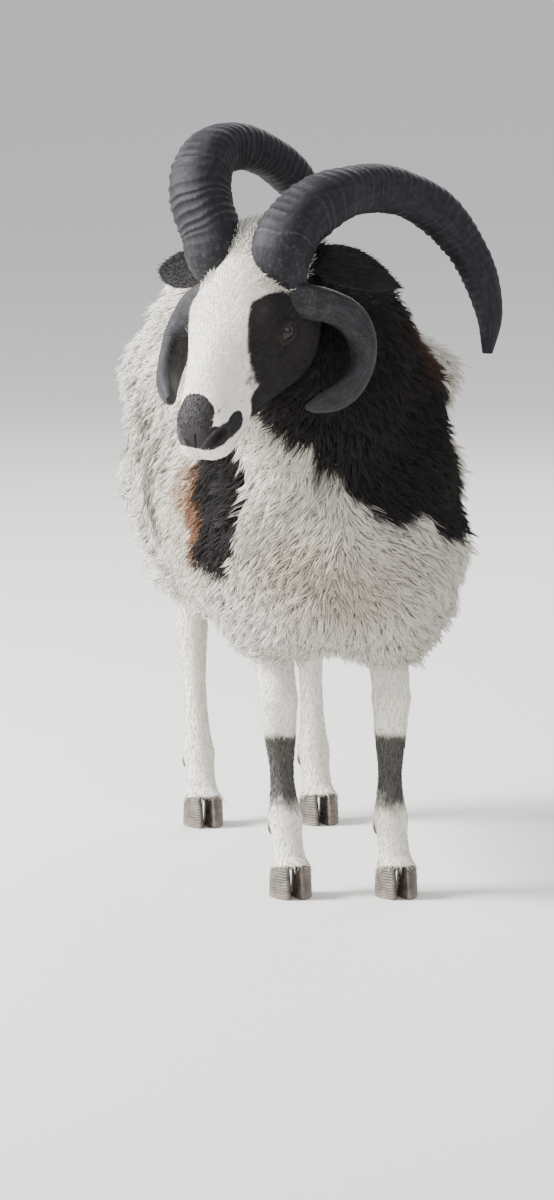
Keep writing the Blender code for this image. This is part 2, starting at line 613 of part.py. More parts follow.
# Tail: undocked and woolly, hanging close behind the rump
TAIL_PATH = ((0.0, 0.350, 0.695), (0.0, 0.390, 0.690), (0.0, 0.421, 0.660), (0.0, 0.436, 0.590),
             (0.0, 0.430, 0.500), (0.0, 0.417, 0.420), (0.0, 0.407, 0.365), (0.0, 0.404, 0.345))
TAIL_HALF = (0.022, 0.027, 0.030, 0.031, 0.029, 0.025, 0.017, 0.008)
TAIL_FLATTEN = 0.75
TAIL_SPACE = 0.053
TAIL_CLUMP_HALF = (0.030, 0.034)
TAIL_WOOL = 0.010
tail_points = [Vector(p) for p in spline(TAIL_PATH, 14)]
tail_halves = [row[0] for row in spline([(h,) for h in TAIL_HALF], 14)]
tail = piece("tail", tube(tail_points, tail_halves, [TAIL_FLATTEN * h for h in tail_halves], 10,
                          Vector((0, 1, 0.01))), white_wool)
fleece(tail, 3, TAIL_SPACE, TAIL_CLUMP_HALF, TAIL_WOOL, lambda place: place.y > TAIL_PATH[1][1])

neck = neck_form("neck", NECK_DROP, black_wool)
nape = Vector(NECK_ROWS[-1][:3])
fleece(neck, 7, NECK_CLUMP_SPACE, NECK_CLUMP_HALF, NECK_DROP,
       lambda place: (place - nape).dot(NECK_AXIS) < -NECK_BARE)
combine(neck, [slab(NECK_SEAM + NECK_AXIS * GAP / 2, -NECK_AXIS), skull]
        + [swollen(p, SWELL) for p in horns + ears], "DIFFERENCE", "MANIFOLD")
combine(torso, [slab(NECK_SEAM - NECK_AXIS * GAP / 2, NECK_AXIS), swollen(tail, SWELL)]
        + [swollen(p, SWELL) for p in legs], "DIFFERENCE", "MANIFOLD")

for made in bpy.data.objects:
    made.data.transform(Matrix.Translation(CENTRING))
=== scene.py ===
import math

import bmesh
import bpy
import numpy as np
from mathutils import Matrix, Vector, kdtree
from mathutils.bvhtree import BVHTree


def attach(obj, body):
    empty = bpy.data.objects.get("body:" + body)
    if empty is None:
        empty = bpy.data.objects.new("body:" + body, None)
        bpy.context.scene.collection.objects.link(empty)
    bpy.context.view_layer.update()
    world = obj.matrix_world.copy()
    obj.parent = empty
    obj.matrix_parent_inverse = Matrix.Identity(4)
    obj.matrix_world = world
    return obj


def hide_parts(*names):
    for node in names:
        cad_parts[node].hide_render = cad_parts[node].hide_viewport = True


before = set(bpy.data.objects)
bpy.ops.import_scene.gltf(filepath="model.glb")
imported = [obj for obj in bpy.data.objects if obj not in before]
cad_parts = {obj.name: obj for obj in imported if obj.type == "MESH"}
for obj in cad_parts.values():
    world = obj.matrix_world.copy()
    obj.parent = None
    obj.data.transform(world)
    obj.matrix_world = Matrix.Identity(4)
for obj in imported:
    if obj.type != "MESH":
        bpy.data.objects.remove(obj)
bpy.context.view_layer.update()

# Studio
# A pale matt floor under an even white sky, one broad soft light from the ram's right and weak ones
# from ahead and behind. The camera stands where the photographer stood, a little to the ram's right.
CAMERA_AIM = Vector((0.0058, 0.0598, 0.3234))
CAMERA_BACK = Vector((-0.1892, -0.9732, 0.1305)).normalized()
CAMERA_DISTANCE = 8.0
CAMERA_LENS = 128.0
CAMERA_SENSOR = 24.0        # the long side of the picture
FLOOR_HALF = 40.0
FLOOR_COLOUR = (0.70, 0.69, 0.67)
FLOOR_SHADE = (0.66, 0.65, 0.64)
SKY_COLOUR = (0.95, 0.97, 1.0)
SKY_STRENGTH = 0.90


class Value:
    """A number in a shader. Arithmetic on it adds Math nodes."""

    def __init__(self, finish, socket):
        self.finish = finish
        self.socket = socket

    def math(self, operation, first, second):
        return self.finish.node("ShaderNodeMath", {"operation": operation}, {0: first, 1: second})

    def __add__(self, other):
        return self.math("ADD", self, other)

    def __sub__(self, other):
        return self.math("SUBTRACT", self, other)

    def __rsub__(self, other):
        return self.math("SUBTRACT", other, self)

    def __mul__(self, other):
        return self.math("MULTIPLY", self, other)

    def __truediv__(self, other):
        return self.math("DIVIDE", self, other)

    def __pow__(self, other):
        return self.math("POWER", self, other)

    __radd__ = __add__
    __rmul__ = __mul__

    def above(self, other):
        """The larger of the two."""
        return self.math("MAXIMUM", self, other)

    def below(self, other):
        """The smaller of the two."""
        return self.math("MINIMUM", self, other)

    def step(self, low, high):
        """0 below low, 1 above high, and a smooth rise between them."""
        settings = {"interpolation_type": "SMOOTHSTEP"}
        return self.finish.node("ShaderNodeMapRange", settings, {0: self, 1: low, 2: high})


class Finish:
    """One material: a Principled shader and the nodes that feed it."""

    def __init__(self, name, **constants):
        self.material = bpy.data.materials.new(name)
        self.material.use_nodes = True
        self.tree = self.material.node_tree
        self.shader = self.tree.nodes["Principled BSDF"]
        for label, amount in constants.items():
            socket = self.shader.inputs[label.replace("_", " ").title().replace("Ior", "IOR")]
            socket.default_value = (*amount, 1.0) if isinstance(amount, tuple) else amount

    def node(self, kind, settings, values, output=0):
        """Any node: its settings first, then the values or links of its sockets."""
        made = self.tree.nodes.new(kind)
        for label, setting in settings.items():
            setattr(made, label, setting)
        for label, given in values.items():
            socket = made.inputs[label]
            if isinstance(given, Value):
                self.tree.links.new(given.socket, socket)
            elif isinstance(given, tuple) and len(socket.default_value) == 4:
                socket.default_value = (*given, 1.0)
            else:
                socket.default_value = given
        return Value(self, made.outputs[output])

    def mix(self, factor, first, second, blend="MIX"):
        """Colours mixed by a factor."""
        settings = {"data_type": "RGBA", "blend_type": blend}
        return self.node("ShaderNodeMix", settings, {0: factor, 6: first, 7: second}, 2)

    def noise(self, place, scale, detail=2.0, rough=0.5):
        return self.node("ShaderNodeTexNoise", {},
                         {"Vector": place, "Scale": scale, "Detail": detail, "Roughness": rough})

    def vector(self, operation, first, second, output=0):
        settings = {"operation": operation}
        return self.node("ShaderNodeVectorMath", settings, {0: first, 1: second}, output)

    def length(self, vector):
        return self.node("ShaderNodeVectorMath", {"operation": "LENGTH"}, {0: vector}, 1)

    def axis(self, place, number):
        """A place's x, y or z, for the numbers 0, 1 and 2."""
        return self.node("ShaderNodeSeparateXYZ", {}, {0: place}, number)

    def place(self):
        return self.node("ShaderNodeTexCoord", {}, {}, 3)

    def kept(self, label, output=1):
        """A value stored on the mesh's points."""
        return self.node("ShaderNodeAttribute", {"attribute_name": label}, {}, output)

    def feed(self, label, value):
        self.tree.links.new(value.socket, self.shader.inputs[label])

    def bump(self, height, distance, strength=1.0):
        made = self.node("ShaderNodeBump", {}, {"Height": height, "Distance": distance,
                                                "Strength": strength})
        self.feed("Normal", made)


def mesh_piece(name, points, faces, finish):
    """One smooth mesh object from arrays of points and of equal-sided faces."""
    mesh = bpy.data.meshes.new(name)
    count, corners = faces.shape
    mesh.vertices.add(len(points))
    mesh.vertices.foreach_set("co", np.asarray(points, np.float32).ravel())
    mesh.loops.add(count * corners)
    mesh.loops.foreach_set("vertex_index", faces.astype(np.int32).ravel())
    mesh.polygons.add(count)
    mesh.polygons.foreach_set("loop_start", np.arange(0, count * corners, corners, dtype=np.int32))
    mesh.polygons.foreach_set("use_smooth", np.ones(count, bool))
    mesh.update(calc_edges=True)
    made = bpy.data.objects.new(name, mesh)
    bpy.context.scene.collection.objects.link(made)
    if finish is not None:
        mesh.materials.append(finish.material)
    return made


floor_finish = Finish("studio_floor", roughness=0.9)
floor_mottle = floor_finish.noise(floor_finish.place(), 3.0, 3.0)
floor_finish.feed("Base Color", floor_finish.mix(floor_mottle * 0.25, FLOOR_COLOUR, FLOOR_SHADE))
floor_corners = FLOOR_HALF * np.array([[-1, -1, 0], [1, -1, 0], [1, 1, 0], [-1, 1, 0]])
floor = mesh_piece("studio_floor", floor_corners, np.array([[0, 1, 2, 3]]), floor_finish)


def set_up(name, data, place, way):
    """A light or the camera, put at a place to look along a direction."""
    made = bpy.data.objects.new(name, data)
    made.location = place
    made.rotation_mode = "QUATERNION"
    made.rotation_quaternion = way.to_track_quat("-Z", "Y")
    bpy.context.scene.collection.objects.link(made)
    return made


def soft_light(name, place, aim, size, watts):
    data = bpy.data.lights.new(name, "AREA")
    data.size = size
    data.energy = watts
    light = set_up(name, data, place, Vector(aim) - Vector(place))


soft_light("key_light", (-3.8, 0.7, 3.0), (0, 0, 0.5), 1.8, 900.0)
soft_light("front_light", (1.6, -4.6, 2.4), (0, 0, 0.4), 3.0, 60.0)
soft_light("rim_light", (1.8, 3.6, 2.8), (0, 0, 0.6), 2.0, 120.0)
sky = bpy.data.worlds.new("studio_sky")
sky.use_nodes = True
sky_shader = sky.node_tree.nodes["Background"]
sky_shader.inputs["Color"].default_value = (*SKY_COLOUR, 1.0)
sky_shader.inputs["Strength"].default_value = SKY_STRENGTH
bpy.context.scene.world = sky

camera_data = bpy.data.cameras.new("camera")
camera_data.sensor_width = CAMERA_SENSOR
camera_data.lens = CAMERA_LENS
camera_place = CAMERA_AIM + CAMERA_BACK * CAMERA_DISTANCE
bpy.context.scene.camera = set_up("camera", camera_data, camera_place, -CAMERA_BACK)

# Hooves
# Two claws of grey-brown horn to a foot, each a blunt half cone with a flat sole and a cleft between.
# The wall shows fine level growth lines, is scuffed paler near the ground, and slopes down to the heel.
CENTRING = np.array([0.025, 0.069, 0.0])    # puts the whole ram over the middle of its frame
# Across and along to the middle of each fetlock, before centring
FEET = {"front_left": (0.068, -0.285), "front_right": (-0.058, -0.262),
        "hind_left": (0.082, 0.262), "hind_right": (-0.068, 0.272)}
CORONET_SLOPE = 0.22
CORONET_HEIGHT = 0.034
CLAW_HALF = 0.0122
CLAW_SPLIT = 0.0012
CLAW_AHEAD = 0.033          # a claw's middle lies this far ahead of the fetlock
GROWTH_LINE_RISE = 0.00022
GROWTH_LINE_SPACE = 0.0042
# Each row: height, reach to the toe, reach to the heel, share of the full width
CLAW_RINGS = ((0.0, 0.0325, 0.0255, 0.95), (0.0015, 0.0345, 0.0270, 1.00), (0.008, 0.0338, 0.0268, 0.99),
              (0.016, 0.0320, 0.0265, 0.97), (0.025, 0.0290, 0.0262, 0.94), (0.0325, 0.0264, 0.0258, 0.90),
              (0.0352, 0.0245, 0.0245, 0.86))
CLAW_SIDES = 48
CLAW_COUNT = 19
SCUFFED_HEIGHT = 0.012
HOOF_DARK = (0.060, 0.050, 0.042)
HOOF_PALE = (0.155, 0.125, 0.095)
HOOF_LINE = (0.035, 0.028, 0.024)
SCUFFED_HOOF = (0.25, 0.215, 0.17)


def curve_through(rows, count):
    """Rows of numbers at even steps on a smooth curve through the given ones."""
    rows = np.array(rows, float)
    ends = np.vstack([2 * rows[0] - rows[1], rows, 2 * rows[-1] - rows[-2]])
    at = np.linspace(0, len(rows) - 1, count)
    span = np.minimum(at.astype(int), len(rows) - 2)
    t = (at - span)[:, None]
    a, b, c, d = (ends[span + k] for k in range(4))
    return 0.5 * (2 * b + (c - a) * t + (2 * a - 5 * b + 4 * c - d) * t ** 2
                  + (3 * b - a - 3 * c + d) * t ** 3)


def skinned(rings):
    """Points and triangles of a closed skin over rings of equal count."""
    rings = np.asarray(rings, float)
    count, sides, _ = rings.shape
    k = np.arange(sides)
    j = (k + 1) % sides
    faces = []
    for row in range(count - 1):
        a, b, c, d = row * sides + k, row * sides + j, (row + 1) * sides + j, (row + 1) * sides + k
        faces += [np.stack([a, b, c], 1), np.stack([a, c, d], 1)]
    first, last = count * sides, count * sides + 1
    faces.append(np.stack([j, k, np.full(sides, first)], 1))
    top = (count - 1) * sides
    faces.append(np.stack([top + k, top + j, np.full(sides, last)], 1))
    points = np.vstack([rings.reshape(-1, 3), rings[0].mean(0), rings[-1].mean(0)])
    return points, np.vstack(faces)


def joined(parts):
    """The points and faces of several meshes as those of one."""
    starts = np.cumsum([0] + [len(points) for points, _ in parts])
    faces = np.vstack([corners + start for (_, corners), start in zip(parts, starts)])
    return np.vstack([points for points, _ in parts]), faces


hoof_finish = Finish("hoof_horn", roughness=0.5)
hoof_place = hoof_finish.place()
hoof_height = hoof_finish.axis(hoof_place, 2)
hoof_lines = hoof_finish.node("ShaderNodeTexWave", {"bands_direction": "Z"},
                              {"Vector": hoof_place, "Scale": 95.0, "Distortion": 2.5, "Detail": 2.0,
                               "Detail Scale": 1.4})
hoof_mottle = hoof_finish.noise(hoof_place, 90.0, 4.0, 0.6)
hoof_tint = hoof_finish.mix(hoof_mottle.step(0.35, 0.7), HOOF_DARK, HOOF_PALE)
scuffed = (1.0 - hoof_height / SCUFFED_HEIGHT).below(1.0).above(0.0) * 0.55
hoof_tint = hoof_finish.mix(scuffed, hoof_tint, SCUFFED_HOOF)
hoof_finish.feed("Base Color", hoof_finish.mix(hoof_lines * 0.09, hoof_tint, HOOF_LINE))
hoof_finish.feed("Roughness", hoof_mottle * 0.3 + 0.38)
hoof_finish.bump(hoof_lines * 0.6 + hoof_mottle, 0.0006)

for place, (x, y) in FEET.items():
    for side, word in ((-1, "right"), (1, "left")):
        angle = 2 * np.pi * (np.arange(CLAW_SIDES) + 0.5) / CLAW_SIDES
        c, s = np.cos(angle), np.sin(angle)
        rings = []
        for height, toe, heel, wide in curve_through(CLAW_RINGS, CLAW_COUNT):
            out = CLAW_HALF * wide * (c + 1.0) * np.where(s > 0, 1.0, 1.0 - 0.35 * s * s)
            out += CLAW_HALF * (1 - wide)
            along = np.where(s > 0, heel * s, toe * s)
            slope = CORONET_SLOPE * min(1.0, max(0.0, height / CORONET_HEIGHT))
            lines = GROWTH_LINE_RISE * np.sin(height * 2 * np.pi / GROWTH_LINE_SPACE)
            across = x + side * (CLAW_SPLIT + out + lines * (c > 0))
            rings.append(np.stack([across, y + along - CLAW_AHEAD, height - slope * along], 1) + CENTRING)
        points, faces = skinned(rings)
        node = "hoof_" + place + "_claw_" + word
        claw = mesh_piece("claw_" + place + "_" + word, points, faces if side > 0 else faces[:, ::-1],
                          hoof_finish)
        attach(claw, "root")
        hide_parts(node)

# Dew claws: a pair of small blunt cones behind each pastern
DEWCLAW_HALF = 0.0062
DEWCLAW_SIDES = 18
DEWCLAW_COUNT = 12
dew_shapes = []
for x, y in FEET.values():
    for side in (-1, 1):
        turn = 2 * np.pi * np.arange(DEWCLAW_SIDES) / DEWCLAW_SIDES
        c, s = np.cos(turn), np.sin(turn)
        rings = []
        for t in np.linspace(0.0, 1.0, DEWCLAW_COUNT):
            swelling = 0.35 + 1.4 * t * (1 - t) + 0.35 * (1 - t)
            half = DEWCLAW_HALF * swelling * (1 - t ** 6) ** 0.5 + 0.0004
            middle = np.array([x + side * (0.0120 + 0.002 * t), y + 0.0125 + 0.006 * t, 0.088 - 0.021 * t])
            rings.append(middle + CENTRING + np.stack([half * c, 0.8 * half * s, 0.25 * half * s], 1))
        points, faces = skinned(rings)
        dew_shapes.append((points, faces[:, ::-1]))
dew_claws = mesh_piece("dew_claws", *joined(dew_shapes), hoof_finish)
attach(dew_claws, "root")

# Skin
# One hide over the whole animal, dark and bare at the nose. Here it gets the form of flesh and bone, as
# closed shells for head, legs and trunk that run into one another under the wool.
POLL = np.array([-0.149, -0.500, 0.808]) + CENTRING
HEAD_TURN = math.radians(41.0)
HEAD_DROP = math.radians(57.0)
FORWARD = np.array([-math.sin(HEAD_TURN) * math.cos(HEAD_DROP),
                    -math.cos(HEAD_TURN) * math.cos(HEAD_DROP), -math.sin(HEAD_DROP)])
LEFTWARD = np.array([math.cos(HEAD_TURN), -math.sin(HEAD_TURN), 0.0])
UPWARD = np.cross(FORWARD, LEFTWARD)
HEAD_AXES = np.stack([FORWARD, LEFTWARD, UPWARD])

# Each row: distance along the face, half width, reach up, reach down, squareness
HEAD_RINGS = ((-0.046, 0.022, -0.030, 0.070, 2.0), (-0.036, 0.042, -0.012, 0.096, 2.0),
              (-0.016, 0.054, 0.002, 0.118, 2.2), (0.010, 0.060, 0.008, 0.132, 2.3),
              (0.040, 0.063, 0.009, 0.140, 2.3), (0.068, 0.066, 0.009, 0.143, 2.3),
              (0.092, 0.067, 0.008, 0.141, 2.3), (0.116, 0.061, 0.007, 0.132, 2.3),
              (0.140, 0.052, 0.006, 0.116, 2.3), (0.164, 0.045, 0.005, 0.099, 2.3),
              (0.186, 0.040, 0.003, 0.087, 2.3), (0.206, 0.0375, -0.001, 0.080, 2.4),
              (0.224, 0.0360, -0.006, 0.075, 2.4), (0.240, 0.0325, -0.013, 0.070, 2.4),
              (0.252, 0.0260, -0.022, 0.064, 2.4), (0.259, 0.0150, -0.031, 0.055, 2.2))
HEAD_SIDES = 168
HEAD_COUNT = 230
HEAD_CURVE = 900
EYE_RADIUS = 0.0140
EYE_PLACE = (0.092, 0.0570, -0.038)
# Fleshy forms. Each row: place on the head (along, out, up), spread along each, height off the bone
HEAD_FORMS = (
    ((0.084, 0.050, -0.014), (0.024, 0.015, 0.012), 0.0055),     # brow over the eye
    ((0.112, 0.055, -0.050), (0.014, 0.012, 0.009), -0.0035),    # tear trough
    ((0.080, 0.064, -0.066), (0.050, 0.020, 0.010), 0.0030),     # cheekbone
    ((0.070, 0.058, -0.100), (0.042, 0.030, 0.026), 0.0050),     # jaw muscle
    ((0.158, 0.036, -0.038), (0.034, 0.014, 0.015), -0.0045),    # hollow beside the nose bone
    ((0.150, 0.000, 0.006), (0.045, 0.016, 0.014), 0.0035),      # arched nose bone
    ((0.226, 0.034, -0.016), (0.016, 0.010, 0.009), 0.0030),     # wing of the nostril
    ((0.246, 0.014, -0.040), (0.014, 0.018, 0.008), 0.0028),     # upper lip
    ((0.236, 0.000, -0.070), (0.020, 0.018, 0.014), 0.0010),     # chin
    ((0.190, 0.030, -0.078), (0.030, 0.012, 0.012), -0.0030),    # hollow behind the chin
    ((0.040, 0.000, 0.008), (0.035, 0.030, 0.014), 0.0025),      # forehead
)
# The slit of the mouth: level round the front of the muzzle, falling towards its corners
MOUTH_LEVEL = -0.0478
MOUTH_BEND = 0.236
MOUTH_FALL = 0.33
MOUTH_CORNER = 0.199
# Slit of the nostril, from its inner lower end to its outer upper end
NOSTRIL_LINE = ((0.2495, 0.0120, -0.0300), (0.2458, 0.0185, -0.0262), (0.2390, 0.0248, -0.0238),
                (0.2310, 0.0292, -0.0238))
CHIN_LEVEL = -0.042         # below this the front of the muzzle slopes back to the chin
CHIN_SLOPE = 0.42


def to_head(points):
    """Places on the head's axes: along the face, to the left, up off the forehead."""
    return (points - POLL) @ HEAD_AXES.T


def from_head(points):
    """Places in the frame, from those on the head's axes."""
    return POLL + np.asarray(points, float) @ HEAD_AXES


def on_left(local):
    """Places on the head's axes, with those of its right side moved across to its left."""
    return np.abs(local) * (0, 1, 0) + local * (1, 0, 1)


def lengths_along(path):
    """How far along a path each of its points is."""
    return np.cumsum(np.r_[0, np.linalg.norm(np.diff(path, axis=0), axis=1)])


def ellipse_ring(sides, square):
    """Unit offsets round a ring whose corners are squarer than a circle's."""
    angle = 2 * np.pi * (np.arange(sides) + 0.5) / sides
    c, s = np.cos(angle), np.sin(angle)
    power = 2.0 / square
    return np.sign(c) * np.abs(c) ** power, np.sign(s) * np.abs(s) ** power


def normals_of(points, faces):
    """Point normals, weighted by the area of the faces round each."""
    across = np.cross(points[faces[:, 1]] - points[faces[:, 0]], points[faces[:, 2]] - points[faces[:, 0]])
    total = np.zeros_like(points)
    for k in range(3):
        for axis in range(3):
            total[:, axis] += np.bincount(faces[:, k], across[:, axis], len(points))
    return total / np.maximum(np.linalg.norm(total, axis=1), 1e-12)[:, None]


def facing_out(points, faces):
    """A closed skin's faces, turned over if they face inwards, and its point normals."""
    normals = normals_of(points, faces)
    if ((points - points.mean(0)) * normals).sum() < 0:
        return faces[:, ::-1], -normals
    return faces, normals


def off_line(points, line):
    """Distance of points from a bent line through the given places."""
    line = curve_through(line, 24)
    best = np.full(len(points), 1e9)
    for start, end in zip(line, line[1:]):
        span = end - start
        t = np.clip((points - start) @ span / (span @ span), 0, 1)
        best = np.minimum(best, np.linalg.norm(points - start - t[:, None] * span, axis=1))
    return best


rows = curve_through(HEAD_RINGS, HEAD_CURVE)
arc = lengths_along(rows[:, [0, 1, 3]])
even = np.interp(np.linspace(0, arc[-1], HEAD_COUNT), arc, np.arange(HEAD_CURVE))
rings = []
for k in even:
    along, half, top, bottom, square = rows[int(round(k))]
    c, s = ellipse_ring(HEAD_SIDES, square)
    up = (top - bottom) / 2 + s * (top + bottom) / 2
    rings.append(np.stack([np.full(HEAD_SIDES, along), half * c, up], 1))
head_points, head_faces = skinned(rings)
head_faces, head_normals = facing_out(head_points, head_faces)
raised = np.zeros(len(head_points))
for middle, spread, height in HEAD_FORMS:
    raised += height * np.exp(-(((on_left(head_points) - middle) / spread) ** 2).sum(1))
head_points = head_points + head_normals * raised[:, None]
near_lips = np.clip((head_points[:, 0] - 0.195) / 0.045, 0, 1)
head_points[:, 0] -= CHIN_SLOPE * near_lips * np.clip(CHIN_LEVEL - head_points[:, 2], 0, 0.03)
head_points = from_head(head_points)

# Lids: a thick rim of skin round each eyeball, almond shaped, with the upper lid lower in front
LID_COLUMNS = 72
LID_OPEN = (0.86, 0.50)     # half the opening along and across the eye, in radians on the ball
LID_ROWS = ((0.00, -0.0040), (0.00, 0.0003), (0.02, 0.0015), (0.07, 0.0021), (0.16, 0.0022),
            (0.30, 0.0021), (0.36, 0.0014), (0.42, 0.0022), (0.60, 0.0024), (0.85, 0.0014),
            (1.15, -0.0010), (1.15, -0.0070))


def eye_axes(side):
    """Out of the eye, along it towards the nose, and up across it, with its middle."""
    out = LEFTWARD * side * 0.90 + UPWARD * 0.34 + FORWARD * 0.26
    out = out / np.linalg.norm(out)
    along = FORWARD - UPWARD * 0.10
    along = along - out * (along @ out)
    along = along / np.linalg.norm(along)
    across = np.cross(out, along) * side
    middle = from_head([EYE_PLACE[0], side * EYE_PLACE[1], EYE_PLACE[2]])
    return out, along, across, middle


shells = [(head_points, head_faces)]
for side in (1, -1):
    out, along, across, middle = eye_axes(side)
    turn = 2 * np.pi * np.arange(LID_COLUMNS) / LID_COLUMNS
    c, s = np.cos(turn), np.sin(turn)
    opening = 1.0 / ((np.abs(c) / LID_OPEN[0]) ** 1.7 + (np.abs(s) / LID_OPEN[1]) ** 1.7) ** (1 / 1.7)
    opening = np.where(s > 0, opening, opening * 0.92)
    rings = []
    for wider, thick in LID_ROWS:
        lean = np.minimum(opening + wider * (1.0 + 0.15 * s), 1.5)
        reach = EYE_RADIUS + thick * (1.0 + 0.25 * (s > 0))
        ring = middle + out * (np.cos(lean) * reach)[:, None]
        ring = ring + along * (np.sin(lean) * c * reach)[:, None]
        rings.append(ring + across * (np.sin(lean) * s * reach)[:, None])
    sides = LID_COLUMNS
    count = len(rings)
    k = np.arange(sides)
    j = (k + 1) % sides
    points = np.vstack(rings)
    faces = []
    for row in range(count):
        low, high = row * sides, (row + 1) % count * sides
        faces += [np.stack([low + k, low + j, high + j], 1), np.stack([low + k, high + j, high + k], 1)]
    faces = np.vstack(faces)
    if (normals_of(points, faces)[4 * sides] @ out) < 0:
        faces = faces[:, ::-1]
    shells.append((points, faces))

# Ears: a folded leaf of gristle, thick at the root, open towards the front and side. The left one
# hangs out sideways to a point, the right one is turned back and shows its round cup. In these values
# 1 stands for the left ear and -1 for the right.
EAR_LENGTH = {1: 0.111, -1: 0.102}
EAR_CURL = 1.20
EAR_THICK = 0.0050
EAR_AIM = {1: (0.90, 0.40, -0.04), -1: (0.95, 0.10, 0.06)}
EAR_HALF = {1: 0.0280, -1: 0.0225}
EAR_DROOP = {1: 0.009, -1: 0.0}
EAR_TWIST = {1: -0.25, -1: 0.60}
EAR_POINT = {1: (2.6, 0.85), -1: (5.0, 0.6)}
EAR_COLUMNS = 25
EAR_ROWS = 46
for side in (1, -1):
    root = from_head([-0.010 if side > 0 else 0.002, side * 0.050, -0.056])
    sideways, backwards, downwards = EAR_AIM[side]
    out = LEFTWARD * side * sideways + FORWARD * downwards - UPWARD * backwards
    out = out / np.linalg.norm(out)
    across = FORWARD * 0.92 + UPWARD * 0.30
    face = np.cross(out, across) * -side
    face = face / np.linalg.norm(face)
    across = np.cross(face, out)
    turned = EAR_TWIST[side]
    face, across = (face * math.cos(turned) + across * math.sin(turned),
                    across * math.cos(turned) - face * math.sin(turned))
    t = np.linspace(0, 1, EAR_ROWS)[:, None]
    u = np.linspace(-1, 1, EAR_COLUMNS)[None, :]
    power, blunt = EAR_POINT[side]
    half = EAR_HALF[side] * (0.42 + 1.55 * t * (1 - t) + 0.40 * t) * (1 - t ** power) ** blunt + 0.0018
    fold = EAR_CURL * (1.0 - 0.62 * t)
    spread = half / np.maximum(np.sin(fold), 0.4)
    droop = -EAR_DROOP[side] * t ** 2.2
    place = root + out * (EAR_LENGTH[side] * t + 0 * u)[..., None]
    place = place + across * (spread * np.sin(fold * u))[..., None]
    place = place + face * (half * (1 - np.cos(fold * u)) + 0.0015 * np.sin(9 * t + 2 * u) * t)[..., None]
    place = place + np.array([0, 0, 1.0]) * (droop + 0 * u)[..., None]
    thick = EAR_THICK * (1.0 - 0.35 * np.abs(u) ** 3) * (1.0 - 0.25 * t)
    front = place + face * (thick / 2)[..., None]
    back = place - face * (thick / 2)[..., None]
    points, faces = skinned(np.concatenate([front, back[:, ::-1]], axis=1))
    shells.append((points, facing_out(points, faces)[0]))


def mesh_arrays(mesh):
    """Points, triangles and edges of a mesh as arrays."""
    mesh.calc_loop_triangles()
    points = np.empty(len(mesh.vertices) * 3, np.float32)
    mesh.vertices.foreach_get("co", points)
    corners = np.empty(len(mesh.loop_triangles) * 3, np.int32)
    mesh.loop_triangles.foreach_get("vertices", corners)
    edges = np.empty(len(mesh.edges) * 2, np.int32)
    mesh.edges.foreach_get("vertices", edges)
    return points.reshape(-1, 3).astype(float), corners.reshape(-1, 3), edges.reshape(-1, 2)


def largest_island(points, corners, edges):
    """The piece of a mesh with the most points, without loose bits such as walls inside it."""
    island = np.arange(len(points))
    before = None
    while before is None or (before != island).any():
        before = island.copy()
        lowest = np.minimum(island[edges[:, 0]], island[edges[:, 1]])
        np.minimum.at(island, edges[:, 0], lowest)
        np.minimum.at(island, edges[:, 1], lowest)
        island = island[island]
    kept = island == np.bincount(island).argmax()
    number = np.cumsum(kept) - 1
    return points[kept], number[corners[kept[corners[:, 0]]]], number[edges[kept[edges[:, 0]]]]


def thrown_away(piece):
    """Removes a helping mesh once it has done its work."""
    mesh = piece.data
    bpy.data.objects.remove(piece, do_unlink=True)
    bpy.data.meshes.remove(mesh)


def grown_together(parts, voxel, rounds, strength):
    """One closed skin round overlapping shells, evened out by a few rounds of smoothing."""
    lump = mesh_piece("lump", *joined(parts), None)
    remesh = lump.modifiers.new("remesh", "REMESH")
    remesh.mode = "VOXEL"
    remesh.voxel_size = voxel
    evened = bpy.data.meshes.new_from_object(lump.evaluated_get(bpy.context.evaluated_depsgraph_get()))
    points, corners, edges = largest_island(*mesh_arrays(evened))
    both = np.concatenate([edges, edges[:, ::-1]])
    share = np.maximum(np.bincount(both[:, 0], minlength=len(points)), 1)[:, None]
    for _ in range(rounds):
        sums = [np.bincount(both[:, 0], points[both[:, 1], axis], len(points)) for axis in range(3)]
        points = points + strength * (np.stack(sums, 1) / share - points)
    thrown_away(lump)
    bpy.data.meshes.remove(evened)
    return points, corners


def search_tree(points, faces):
    """A mesh made ready to be searched for its nearest spot."""
    return BVHTree.FromPolygons(points.tolist(), faces.tolist())


HEAD_VOXEL = 0.0016
HEAD_EVENING = (3, 0.5)     # rounds of smoothing, and how far each goes towards the neighbours' mean
EAR_FADE = 0.004
EAR_SIDEWAYS = 0.045        # the ears lie farther out from the middle of the head than this
ear_tree = search_tree(*joined(shells[-2:]))
points, corners = grown_together(shells, HEAD_VOXEL, *HEAD_EVENING)


def ear_share(points):
    """1 for places on an ear, fading to 0 a little way off it."""
    share = np.zeros(len(points))
    for k in np.flatnonzero(np.abs(to_head(points)[:, 1]) > EAR_SIDEWAYS):
        spot = ear_tree.find_nearest(points[k].tolist(), EAR_FADE)
        share[k] = 0.0 if spot[0] is None else 1.0 - spot[3] / EAR_FADE
    return share


def finer(points, corners, chosen):
    """The same skin with the triangles whose points are all chosen cut in four."""
    rough = mesh_piece("rough", points, corners, None)
    cut = bmesh.new()
    cut.from_mesh(rough.data)
    edges = [edge for edge in cut.edges if chosen[edge.verts[0].index] and chosen[edge.verts[1].index]]
    bmesh.ops.subdivide_edges(cut, edges=edges, cuts=1, use_grid_fill=True)
    bmesh.ops.triangulate(cut, faces=cut.faces[:])
    cut.to_mesh(rough.data)
    cut.free()
    points, corners, _ = mesh_arrays(rough.data)
    thrown_away(rough)
    return points, corners


def mouth_height(ahead):
    """How high the slit of the mouth lies, this far ahead on the face."""
    return MOUTH_LEVEL - MOUTH_FALL * np.maximum(MOUTH_BEND - ahead, 0.0)


